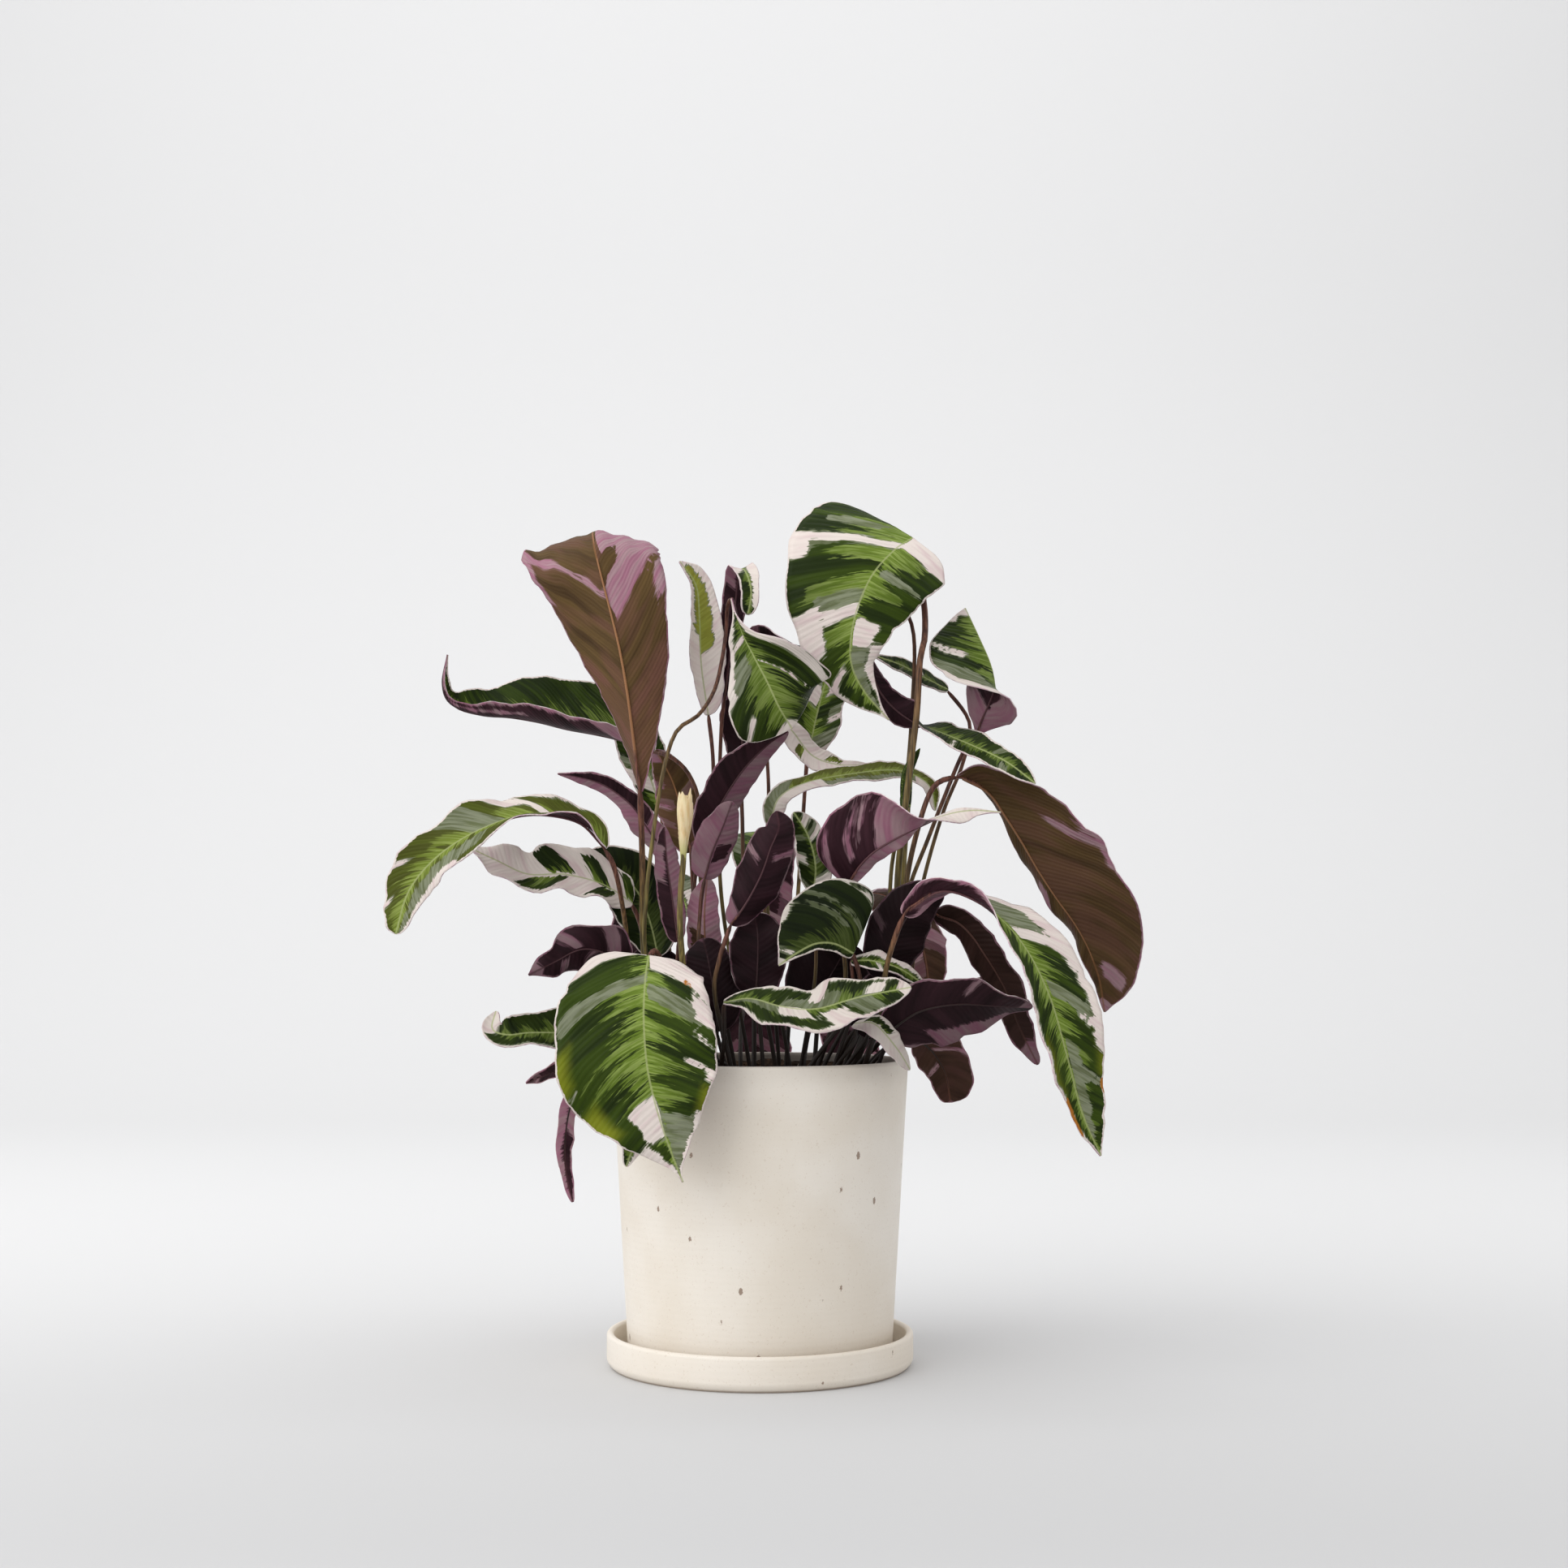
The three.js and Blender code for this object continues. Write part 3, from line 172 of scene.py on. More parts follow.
# %% A helper for shader recipes
class Recipe:
    """A material written as a chain of formulas that ends in the standard shader."""

    def __init__(self, name):
        self.material = bpy.data.materials.new(name)
        self.material.use_nodes = True
        self.tree = self.material.node_tree
        self.shader = self.tree.nodes["Principled BSDF"]
        self.output = self.tree.nodes["Material Output"]

    def node(self, kind, **settings):
        made = self.tree.nodes.new(kind)
        for key, value in settings.items():
            setattr(made, key, value)
        return made

    def join(self, source, socket):
        if isinstance(source, bpy.types.NodeSocket):
            self.tree.links.new(source, socket)
        else:
            socket.default_value = source

    def set(self, socket, value):
        self.join(value, self.shader.inputs[socket])

    def math(self, operation, a, b=0.0, clamp=False):
        made = self.node("ShaderNodeMath", operation=operation, use_clamp=clamp)
        self.join(a, made.inputs[0])
        self.join(b, made.inputs[1])
        return made.outputs[0]

    def plus(self, a, b):
        return self.math("ADD", a, b)

    def minus(self, a, b):
        return self.math("SUBTRACT", a, b)

    def times(self, a, b, clamp=False):
        return self.math("MULTIPLY", a, b, clamp)

    def vector(self, x, y, z):
        made = self.node("ShaderNodeCombineXYZ")
        for value, socket in zip((x, y, z), made.inputs):
            self.join(value, socket)
        return made.outputs[0]

    def split(self, vector):
        made = self.node("ShaderNodeSeparateXYZ")
        self.join(vector, made.inputs[0])
        return made.outputs

    def attribute(self, name):
        return self.node("ShaderNodeAttribute", attribute_name=name)

    def place(self, scale=None):
        """The point of the object, whose own coordinates are the plant's, stretched if wanted."""
        coordinates = self.node("ShaderNodeTexCoord").outputs["Object"]
        if scale is None:
            return coordinates
        made = self.node("ShaderNodeMapping")
        self.join(coordinates, made.inputs["Vector"])
        made.inputs["Scale"].default_value = scale
        return made.outputs["Vector"]

    def noise(self, place, scale=1.0, detail=2.0, roughness=0.5):
        made = self.node("ShaderNodeTexNoise")
        self.join(place, made.inputs["Vector"])
        made.inputs["Scale"].default_value = scale
        made.inputs["Detail"].default_value = detail
        made.inputs["Roughness"].default_value = roughness
        return made.outputs["Fac"]

    def ramp(self, value, low, high):
        """0 below low, 1 above high, smooth between."""
        made = self.node("ShaderNodeMapRange", interpolation_type="SMOOTHSTEP")
        self.join(value, made.inputs["Value"])
        self.join(low, made.inputs["From Min"])
        self.join(high, made.inputs["From Max"])
        return made.outputs["Result"]

    def mix(self, share, first, second):
        made = self.node("ShaderNodeMix", data_type="RGBA")
        self.join(share, made.inputs["Factor"])
        self.join(first, made.inputs["A"])
        self.join(second, made.inputs["B"])
        return made.outputs["Result"]

    def bump(self, height, distance, strength=1.0):
        made = self.node("ShaderNodeBump")
        made.inputs["Distance"].default_value = distance
        made.inputs["Strength"].default_value = strength
        self.join(height, made.inputs["Height"])
        self.tree.links.new(made.outputs["Normal"], self.shader.inputs["Normal"])

    def glow_through(self, share, colour):
        """Lets some light through the sheet."""
        through = self.node("ShaderNodeBsdfTranslucent")
        self.join(colour, through.inputs["Color"])
        blend = self.node("ShaderNodeMixShader")
        blend.inputs["Fac"].default_value = share
        self.tree.links.new(self.shader.outputs["BSDF"], blend.inputs[1])
        self.tree.links.new(through.outputs["BSDF"], blend.inputs[2])
        self.tree.links.new(blend.outputs["Shader"], self.output.inputs["Surface"])

# %% [markdown]
# The pattern of this leaf is made of sectors that follow the side veins. Where the leaf makes
# green it is green; where it doesn't, it is milk white, with a sage-grey zone between. The large
# sectors are worked out with each blade below and stored on it as distances in millimetres: how
# deep a point lies in a white sector, in a sage one, in a yellow or a withered one. The recipe
# only roughens their edges. It shifts them with noise that is stretched along the veins, which
# gives the feathered strokes. Every leaf, and each of its halves, looks at another part of the
# noise, and so does every layer of strokes, by its own choice number.

# %% The pattern shared by both faces
FEATHER_WIDTH = 1.1
FEATHER_LENGTH = 10.0
FEATHER_SHIFT = 4.6
DRIFT_WIDTH = 7.0
DRIFT_LENGTH = 12.0
DRIFT_SHIFT = 5.0
MARGIN_WIDTH = 0.85
RIB_WIDTH = 0.55
STREAK_ROUGHNESS = 0.55
LEAF_SPACING = 37.0
HALF_SPACING = 9.0


class LeafPattern:
    """The measures stored on a leaf and the shares of white, sage and rib that follow from them."""

    def __init__(self, recipe):
        self.recipe = recipe
        self.vein, out, half = self.stored("blade")
        white_depth, sage_depth, self.painted_shade = self.stored("marks")
        self.tone, self.yellow, self.brown = self.stored("tones")
        seed, _white_share, self.age = self.stored("look")
        self.reach = recipe.math("ABSOLUTE", out)
        self.share = recipe.math("DIVIDE", self.reach, recipe.plus(half, 0.01), clamp=True)
        side = recipe.times(recipe.math("SIGN", out), HALF_SPACING)
        self.where = recipe.plus(recipe.times(seed, LEAF_SPACING), side)
        self.feather = recipe.minus(self.streaks(FEATHER_WIDTH, FEATHER_LENGTH, 3.0, 3.0), 0.5)
        drift = recipe.minus(self.streaks(DRIFT_WIDTH, DRIFT_LENGTH, 2.0, 17.0), 0.5)
        shift = recipe.plus(recipe.times(self.feather, FEATHER_SHIFT),
                            recipe.times(drift, DRIFT_SHIFT))
        sector_white = recipe.ramp(recipe.plus(white_depth, shift), -0.25, 0.25)
        ragged = recipe.times(self.streaks(2.6, 6.0, 3.0, 5.0), 2.0 * MARGIN_WIDTH)
        from_edge = recipe.minus(half, self.reach)
        edge_white = recipe.ramp(recipe.minus(ragged, from_edge), -0.15, 0.15)
        self.white = recipe.math("MAXIMUM", sector_white, edge_white)
        self.sage = recipe.ramp(recipe.plus(sage_depth, shift), -0.4, 0.4)
        self.rib = recipe.ramp(recipe.minus(RIB_WIDTH, self.reach), -0.15, 0.3)

    def stored(self, name):
        return self.recipe.split(self.recipe.attribute(name).outputs["Vector"])

    def streaks(self, width, length, detail, choice):
        """Noise in strokes of a width across the veins and a length along them, in millimetres."""
        place = self.recipe.vector(self.recipe.math("DIVIDE", self.vein, width),
                                   self.recipe.math("DIVIDE", self.reach, length),
                                   self.recipe.plus(self.where, choice))
        return self.recipe.noise(place, 1.0, detail, STREAK_ROUGHNESS)


# %% [markdown]
# The upper face is dark green. From the midrib a lighter, yellower green spreads out along the
# side veins; how far it reaches changes slowly from vein to vein, and its front is feathered. The
# sage zone and the white sectors lie over it. Young leaves are yellower all over, and painted shade
# makes the leaves inside the plant nearly black. Some edges have gone yellow, and a few spots have
# withered to brown.

# %% Greens of the upper face
DARK_GREEN = linear("35460d")
DARKER_GREEN = linear("1f2c08")
PAINTED_SHADE_GREEN = linear("0b1206")
LIGHT_GREEN = linear("71892f")
PALE_GREEN = linear("98ac58")
YOUNG_GREEN = linear("99993f")
YELLOW_EDGE = linear("949a22")
LIGHT_REACH = 0.31
REACH_BY_VEIN = 2.2
REACH_BY_FEATHER = 1.5
REACH_BY_TONE = 0.5


def leaf_green(recipe, leaf):
    bands = recipe.ramp(leaf.streaks(6.5, 60.0, 2.0, 11.0), 0.40, 0.62)
    dark = recipe.mix(bands, DARK_GREEN, DARKER_GREEN)
    slow = recipe.minus(leaf.streaks(8.0, 400.0, 1.0, 7.0), 0.5)
    reach = recipe.plus(LIGHT_REACH, recipe.times(slow, REACH_BY_VEIN))
    reach = recipe.plus(reach, recipe.times(leaf.feather, REACH_BY_FEATHER))
    reach = recipe.plus(reach, recipe.times(leaf.tone, REACH_BY_TONE))
    inside = recipe.ramp(recipe.minus(reach, leaf.share), -0.05, 0.12)
    strokes = recipe.ramp(leaf.streaks(1.5, 16.0, 3.0, 13.0), 0.42, 0.60)
    light = recipe.mix(strokes, LIGHT_GREEN, PALE_GREEN)
    near_rib = recipe.minus(1.0, recipe.times(leaf.share, 0.75))
    green = recipe.mix(recipe.times(recipe.times(inside, near_rib), 0.9), dark, light)
    fine = recipe.ramp(leaf.streaks(0.7, 26.0, 2.0, 31.0), 0.42, 0.7)
    green = recipe.mix(recipe.times(fine, 0.25), green, DARKER_GREEN)
    green = recipe.mix(recipe.times(leaf.age, -0.75, clamp=True), green, YOUNG_GREEN)
    yellow = recipe.ramp(recipe.plus(leaf.yellow, leaf.feather), -4.0, 5.0)
    green = recipe.mix(recipe.times(yellow, 0.6), green, YELLOW_EDGE)
    # Painted shade: a leaf inside the plant is darkened towards a near-black green.
    return recipe.mix(recipe.times(leaf.painted_shade, 0.9), green, PAINTED_SHADE_GREEN)


# %% [markdown]
# Sage and white are laid over the greens, then the withered spots and the pale midrib. The side
# veins are only just felt as ridges, and a little light comes through the blade, as it does through
# a real leaf. The surface is nearly matt: a stronger sheen put a grey veil over the dark leaves.

# %% Upper face of the leaf
SAGE = linear("8b9078")
SAGE_DARK = linear("697051")
MILK = linear("e6dbd3")
BLUSH = linear("d9c3c2")
RIB_GREEN = linear("a7b077")
WITHERED = linear("b0702a")
RIDGE_TURN = 2.1
RELIEF_DEPTH = 0.00016
RELIEF_STRENGTH = 0.8
GLOW_ABOVE = 0.14
GLOW_BELOW = 0.12


def upper_face():
    recipe = Recipe("leaf_upper")
    leaf = LeafPattern(recipe)
    sage = recipe.mix(recipe.ramp(leaf.streaks(2.5, 14.0, 3.0, 41.0), 0.4, 0.62), SAGE, SAGE_DARK)
    # Painted shade darkens the sage of a leaf inside the plant.
    sage = recipe.mix(recipe.times(leaf.painted_shade, 0.5), sage, DARKER_GREEN)
    colour = recipe.mix(recipe.times(leaf.sage, 0.9), leaf_green(recipe, leaf), sage)
    milk = recipe.mix(recipe.ramp(leaf.streaks(5.0, 24.0, 2.0, 21.0), 0.45, 0.75), MILK, BLUSH)
    # Painted shade greys the white of a leaf inside the plant.
    milk = recipe.mix(recipe.times(leaf.painted_shade, 0.3), milk, SAGE_DARK)
    colour = recipe.mix(leaf.white, colour, milk)
    withered = recipe.ramp(recipe.plus(leaf.brown, leaf.feather), -0.4, 0.6)
    colour = recipe.mix(withered, colour, WITHERED)
    colour = recipe.mix(recipe.times(leaf.rib, 0.7), colour, RIB_GREEN)
    recipe.set("Base Color", colour)
    recipe.set("Roughness", 0.46)
    recipe.set("Specular IOR Level", 0.1)
    ridges = recipe.times(recipe.math("SINE", recipe.times(leaf.vein, RIDGE_TURN)), 0.6)
    relief = recipe.plus(ridges, recipe.times(leaf.feather, 2.0))
    recipe.bump(relief, RELIEF_DEPTH, RELIEF_STRENGTH)
    recipe.glow_through(GLOW_ABOVE, colour)
    return recipe.material


# %% [markdown]
# The underside repeats the same sectors, because the pigment goes through the blade: where the top
# is green the back is maroon, or olive-brown on the old leaves, and where it is white the back is
# pink. It is softer than the top: broad, faint bands instead of strokes.

# %% Underside of the leaf
MAROON_DARK = linear("1e0f13")
MAROON = linear("472a33")
OLIVE_BROWN = linear("66502f")
OLIVE_BROWN_DARK = linear("42301d")
ROSE_BROWN = linear("6f4c3f")
PINK = linear("a26e82")
LILAC = linear("a98a90")
RIB_BROWN = linear("8f6440")
RIB_PURPLE = linear("5c3a40")
UNDER_SHADE = linear("120a0a")


def under_face():
    recipe = Recipe("leaf_under")
    leaf = LeafPattern(recipe)
    bands = recipe.ramp(leaf.streaks(9.0, 60.0, 3.0, 11.0), 0.22, 0.78)
    blush = recipe.ramp(leaf.streaks(16.0, 30.0, 2.0, 51.0), 0.45, 0.62)
    maroon = recipe.mix(bands, MAROON, MAROON_DARK)
    rosy = recipe.math("ADD", recipe.times(blush, 0.5), recipe.times(leaf.tone, 0.4), clamp=True)
    brown = recipe.mix(rosy, recipe.mix(bands, OLIVE_BROWN, OLIVE_BROWN_DARK), ROSE_BROWN)
    old = recipe.times(leaf.age, 1.0, clamp=True)
    dark = recipe.mix(old, maroon, brown)
    soft = recipe.mix(recipe.ramp(leaf.streaks(5.0, 26.0, 3.0, 21.0), 0.35, 0.65), PINK, LILAC)
    dark = recipe.mix(recipe.times(leaf.sage, 0.35), dark, soft)
    colour = recipe.mix(recipe.times(leaf.white, 0.95), dark, soft)
    rib = recipe.mix(old, RIB_PURPLE, RIB_BROWN)
    colour = recipe.mix(recipe.times(leaf.rib, 0.6), colour, rib)
    # Painted shade: a leaf inside the plant is darkened towards near black.
    colour = recipe.mix(recipe.times(leaf.painted_shade, 0.82), colour, UNDER_SHADE)
    recipe.set("Base Color", colour)
    recipe.set("Roughness", 0.5)
    recipe.set("Specular IOR Level", 0.08)
    ridges = recipe.times(recipe.math("SINE", recipe.times(leaf.vein, RIDGE_TURN)), 0.5)
    recipe.bump(recipe.plus(ridges, leaf.feather), RELIEF_DEPTH, RELIEF_STRENGTH)
    recipe.glow_through(GLOW_BELOW, colour)
    return recipe.material


# %% [markdown]
# The cut edge of the blade is only a hair wide, pale and slightly pink. The stalk is olive low down
# and red-brown towards the leaf, with fine length-wise streaks. The share of the stalk's length is
# stored on it, so the change from olive to red follows each stalk however it bends. In the last few
# centimetres above the soil, under the leaves, painted shade makes the stalk nearly black; this
# painted shade only depends on the height. The rib under the blade ends the stalk. It is
# ochre-brown on old leaves and purple on the others. The leaf's painted shade darkens its stalk
# and rib as well.

# %% Leaf edge and stalk
SHADED_FOOT = (0.178, 0.218)
STALK_STREAKS = (900.0, 900.0, 60.0)
OLIVE_STALK = (linear("4d4325"), linear("83743f"))
RED_STALK = (linear("43261f"), linear("74483a"))
STALK_SHADE = linear("170e0c")
PAINTED_FOOT_SHADE = linear("1f1610")


def leaf_edge():
    recipe = Recipe("leaf_edge")
    blade = recipe.attribute("blade").outputs["Vector"]
    tint = recipe.ramp(recipe.noise(blade, 0.3, 2.0), 0.4, 0.6)
    recipe.set("Base Color", recipe.mix(tint, linear("dcd0cc"), linear("b99aa6")))
    recipe.set("Roughness", 0.6)
    return recipe.material


def stalk_skin():
    recipe = Recipe("stalk")
    share = recipe.attribute("height_share").outputs["Fac"]
    painted_shade = recipe.split(recipe.attribute("marks").outputs["Vector"])[2]
    age = recipe.split(recipe.attribute("look").outputs["Vector"])[2]
    grain = recipe.noise(recipe.place(STALK_STREAKS), 1.0, 3.0)
    streaks = recipe.ramp(grain, 0.35, 0.7)
    low = recipe.mix(streaks, *OLIVE_STALK)
    high = recipe.mix(streaks, *RED_STALK)
    colour = recipe.mix(recipe.ramp(share, 0.35, 0.8), low, high)
    rib = recipe.mix(recipe.times(age, 1.0, clamp=True), RIB_PURPLE, RIB_BROWN)
    colour = recipe.mix(recipe.ramp(share, 0.87, 0.93), colour, rib)
    # The leaf's painted shade darkens its stalk and rib too.
    colour = recipe.mix(recipe.times(painted_shade, 0.8), colour, STALK_SHADE)
    height = recipe.split(recipe.place())[2]
    # Painted shade: the stalk turns nearly black low down, under the leaves.
    foot_shade = recipe.ramp(height, SHADED_FOOT[1], SHADED_FOOT[0])
    recipe.set("Base Color", recipe.mix(foot_shade, colour, PAINTED_FOOT_SHADE))
    recipe.set("Roughness", 0.45)
    recipe.set("Specular IOR Level", 0.25)
    recipe.bump(grain, 0.0002, 0.6)
    return recipe.material


LEAF_FINISHES = [upper_face(), under_face(), leaf_edge(), stalk_skin()]
print("leaf finishes:", [material.name for material in LEAF_FINISHES])

# %% [markdown]
# A leaf hangs on one smooth line, its midrib. Five or six places along it, read in millimetres
# from the photograph and its perspective, are enough. The line between them is a Catmull-Rom
# curve, taken at equal steps of its length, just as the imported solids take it, so that the fine
# leaves lie inside the plain ones.

# %% Smooth lines
CURVE_STEPS = 200
TANGENT_STEP = 1e-4


class Curve:
    """A smooth line through points, read by its share of length from 0 to 1."""

    def __init__(self, points):
        points = [Vector(p) for p in points]
        before = 2 * points[0] - points[1]
        after = 2 * points[-1] - points[-2]
        self.knots = [before, *points, after]
        self.spans = len(points) - 1
        self.lengths = [0.0]
        last = self.at_parameter(0.0)
        for step in range(1, CURVE_STEPS + 1):
            place = self.at_parameter(step / CURVE_STEPS)
            self.lengths.append(self.lengths[-1] + (place - last).length)
            last = place
        self.length = self.lengths[-1]

    def at_parameter(self, parameter):
        position = parameter * self.spans
        span = min(int(position), self.spans - 1)
        t = position - span
        a, b, c, d = self.knots[span:span + 4]
        leave, arrive = (c - a) / 2, (d - b) / 2
        cubic = (2 * b - 2 * c + leave + arrive) * t ** 3
        square = (3 * c - 3 * b - 2 * leave - arrive) * t ** 2
        return cubic + square + leave * t + b

    def parameter(self, share):
        target = share * self.length
        low, high = 0, CURVE_STEPS
        while high - low > 1:
            middle = (low + high) // 2
            if self.lengths[middle] <= target:
                low = middle
            else:
                high = middle
        span = self.lengths[high] - self.lengths[low]
        return (low + (target - self.lengths[low]) / (span or 1.0)) / CURVE_STEPS

    def place(self, share):
        return self.at_parameter(self.parameter(share))

    def forward(self, share):
        centre = self.parameter(share)
        first = max(centre - TANGENT_STEP, 0.0)
        second = min(centre + TANGENT_STEP, 1.0)
        return (self.at_parameter(second) - self.at_parameter(first)).normalized()


bow = Curve([(0, 0, 0), (0, 40, 60), (0, 100, 80)])
print("a bow through three places is", round(bow.length, 1), "mm long")

# %% [markdown]
# The leaves that the photograph shows well have their sectors listed one by one. The others get
# theirs from a seeded draw, so that they are the same at each run. The draw walks along the midrib
# of each half and lays a white or sage sector, then a gap. A whiter leaf has wider sectors and
# shorter gaps, and each white sector has a sage zone after it.

# %% Seeded sectors
FIRST_VEIN = (-0.4, -0.1)
GAP_LENGTH = (0.10, 0.30)
SECTOR_LENGTH = (0.03, 0.14)
SAGE_ZONE = (0.02, 0.08)
SECTOR_STARTS = (0.0, 0.0, 0.25, 0.5)
SAGE_CHANCE = 0.4


def drawn_marks(look):
    seed, whiteness, _age = look
    rng = random.Random(round(seed * 100))
    gap_factor = 1.3 - whiteness
    sector_factor = 0.4 + 1.4 * whiteness
    marks = []
    for side in (-1, 1):
        vein = rng.uniform(*FIRST_VEIN)
        while vein < 1.0:
            vein += rng.uniform(*GAP_LENGTH) * gap_factor
            end = vein + rng.uniform(*SECTOR_LENGTH) * sector_factor
            inner = rng.choice(SECTOR_STARTS)
            kind = "sage" if rng.random() < SAGE_CHANCE else "white"
            marks.append((side, vein, end, inner, 1.0, kind))
            if kind == "white":
                marks.append((side, end, end + rng.uniform(*SAGE_ZONE), inner, 1.0, "sage"))
            vein = end
    return marks


print("a leaf with a third of white gets", len(drawn_marks((0.5, 0.33, 0))), "sectors")

# %% [markdown]
# One row of values describes a leaf: where its stalk stands, the places along stalk and midrib,
# the directions its upper side looks in, and for each half a width, the angles of its fold at base
# and tip and its curl. From them follows a frame at any place of the midrib: the place itself, the
# upper side and the right-hand side. Everything that is carried onto the midrib uses this frame. A
# plain sample leaf, which is measured but never built, shows what each step gives.

# %% A leaf and its frame
class Leaf:
    """One leaf: its lines and widths in millimetres, its angles in degrees, and its look."""

    def __init__(self, name, root, radius, stem, rib, face, left, right, wave, shape,
                 look, painted_shade=0.0, lean=(0.55, 0.008), marks=(), crest=0.0, fine=False):
        self.name = name
        self.root = root
        self.radius = radius
        self.stem = stem
        self.curve = Curve(rib)
        self.face = [Vector(f) for f in face]
        self.sides = {-1: left, 1: right}
        self.wave = wave
        self.shape = shape
        self.look = look
        self.seed = look[0]
        self.painted_shade = painted_shade
        self.leans = {1: lean[:2], -1: lean[-2:]}
        self.marks = marks or drawn_marks(look)
        self.crest = crest
        self.fine = fine

    def frame_at(self, along):
        """Place, upper side and right-hand side of the midrib."""
        place = self.curve.place(along)
        forward = self.curve.forward(along)
        step = along * (len(self.face) - 1)
        first = min(int(step), len(self.face) - 2)
        up = self.face[first].lerp(self.face[first + 1], step - first)
        up = (up - forward * up.dot(forward)).normalized()
        return place, up, forward.cross(up)


sample = Leaf("sample", root=(0, 0), radius=1.6, stem=[(0, 0, 200)],
              rib=[(0, 0, 220), (0, -40, 260), (0, -100, 270)], face=[(0, 0, 1), (0, 0, 1)],
              left=(30, 20, 10, 20), right=(30, 20, 10, 20), wave=(2, 2, 0), shape=(0.6, 0.8, 1.5),
              look=(0.39, 0.3, 0))
print("the sample's blade is", round(sample.curve.length), "mm long")

# %% [markdown]
# The outline of a half swells quickly from the base and tapers to the tip, as three numbers of the
# leaf's shape say. A short stub keeps the blade from ending in a single point. A real edge is never
# quite even, so it swells and shrinks a little, in small steps and in large ones. Both are noise,
# and the seed times a number takes each leaf to a part of it that is its own.

# %% Outline of a blade
BLADE_STUB = 1.3
TIP_STUB = 0.5
EDGE_UNEVEN = (1.2, 2.2)
EDGE_PITCH = (6.0, 17.0)
FULL_WIDTH = 8.0


def smooth_width(leaf, along, side):
    swell, taper, fullness = leaf.shape
    widest = (swell / (swell + taper * fullness)) ** (1 / fullness)
    share, top = (x ** swell * (1 - x ** fullness) ** taper for x in (along, widest))
    stub = BLADE_STUB + (TIP_STUB - BLADE_STUB) * along
    return stub + leaf.sides[side][0] * (share / top)


def half_width(leaf, along, side):
    """The uneven outline, calmer where the blade is narrow."""
    run = along * leaf.curve.length
    half = smooth_width(leaf, along, side)
    small = noise.noise((run / EDGE_PITCH[0], side * 5.0, leaf.seed * 9.0))
    large = noise.noise((run / EDGE_PITCH[1], side * 5.0, leaf.seed * 6.0))
    uneven = EDGE_UNEVEN[0] * small + EDGE_UNEVEN[1] * large
    return half + uneven * min(1.0, half / FULL_WIDTH)


print("near its middle a half is", round(half_width(sample, 0.4, 1), 1), "mm wide")

# %% [markdown]
# The two halves fold up from the midrib and curl, each by its own angles, and the edge waves. Finer
# life than the plain solids have is added here: a crinkle that grows towards the edge, quilting
# between the side veins, and a ragged crest where the tall leaf turns over. Every point also gets
# its measures: its place along the midrib, followed back down its side vein, how far out it lies
# and how wide the half is there.

# %% Folds, waves and crinkles
LEFT_WAVE_SHIFT = 0.37
CRINKLE_DEPTH = 1.2
CRINKLE_PITCH = 8.0
CRINKLE_SPREAD = 14.0
QUILT_PITCH = 2.4
QUILT_DEPTH = 0.08
CREST_PITCH = 0.3
CREST_FROM = 0.38
CREST_FULL = 0.55


def wave_lift(leaf, along, side, reach, half, vein):
    """How far a point is raised off the plain fold."""
    height, count, phase = leaf.wave
    shift = LEFT_WAVE_SHIFT if side < 0 else 0.0
    beat = math.sin(2 * math.pi * (count * along + phase + shift))
    run = along * leaf.curve.length
    across = side * (3.0 + reach * half / CRINKLE_SPREAD)
    crinkle = noise.noise((run / CRINKLE_PITCH, across, leaf.seed * 7.0))
    quilt = math.sin(2 * math.pi * vein / QUILT_PITCH)
    between = min(1.0, 4 * reach * (1 - reach))
    grown = min(1.0, half / FULL_WIDTH)
    lift = height * beat * reach * reach * grown
    lift += CRINKLE_DEPTH * crinkle * reach ** 1.5 * grown
    lift += QUILT_DEPTH * quilt * between * grown
    return lift


def crest_lift(leaf, along, across):
    """Lets the place where a blade turns over rise and fall across it, as a ragged crest."""
    grown = min(max((along - CREST_FROM) / (CREST_FULL - CREST_FROM), 0.0), 1.0)
    return leaf.crest * grown * noise.noise((across / CREST_PITCH, leaf.seed * 5.0, 2.0))


def blade_point(leaf, frame_here, along, across):
    """A point of the middle surface and its measures for the pattern."""
    place, up, right = frame_here
    side = -1 if across < 0 else 1
    _width, fold_base, fold_tip, curl = leaf.sides[side]
    reach = abs(across)
    half = half_width(leaf, along, side)
    start = math.radians(fold_base + (fold_tip - fold_base) * along)
    turn = math.radians(curl) or 1e-4
    out = (math.sin(start + turn * reach) - math.sin(start)) / turn
    rise = (math.cos(start) - math.cos(start + turn * reach)) / turn
    slope, bend = leaf.leans[side]
    vein = along * leaf.curve.length - slope * reach * half - bend * (reach * half) ** 2
    lift = wave_lift(leaf, along, side, reach, half, vein)
    point = place + right * (side * half * out) + up * (half * rise + lift)
    point.z += crest_lift(leaf, along, across)
    return point, (vein, side * reach * half, half)


edge_point, _measures = blade_point(sample, sample.frame_at(0.4), 0.4, 1.0)
print("its edge lies there at", [round(value, 1) for value in edge_point])

# %% [markdown]
# The measures say how deep a point lies in each sector: the distance to its nearest border, below
# zero outside and -12 far outside. Green sectors cut into the white and sage ones. The sage reaches
# a little past the white, which gives each white sector its grey border. Lighter and darker zones
# fade over a few millimetres and are stored as one tone.

# %% Depth in the sectors
KINDS = ("white", "sage", "green", "light", "dark", "yellow", "brown")
NOWHERE = -12.0
SAGE_BORDER = 0.8
TONE_DEPTH = 4.0


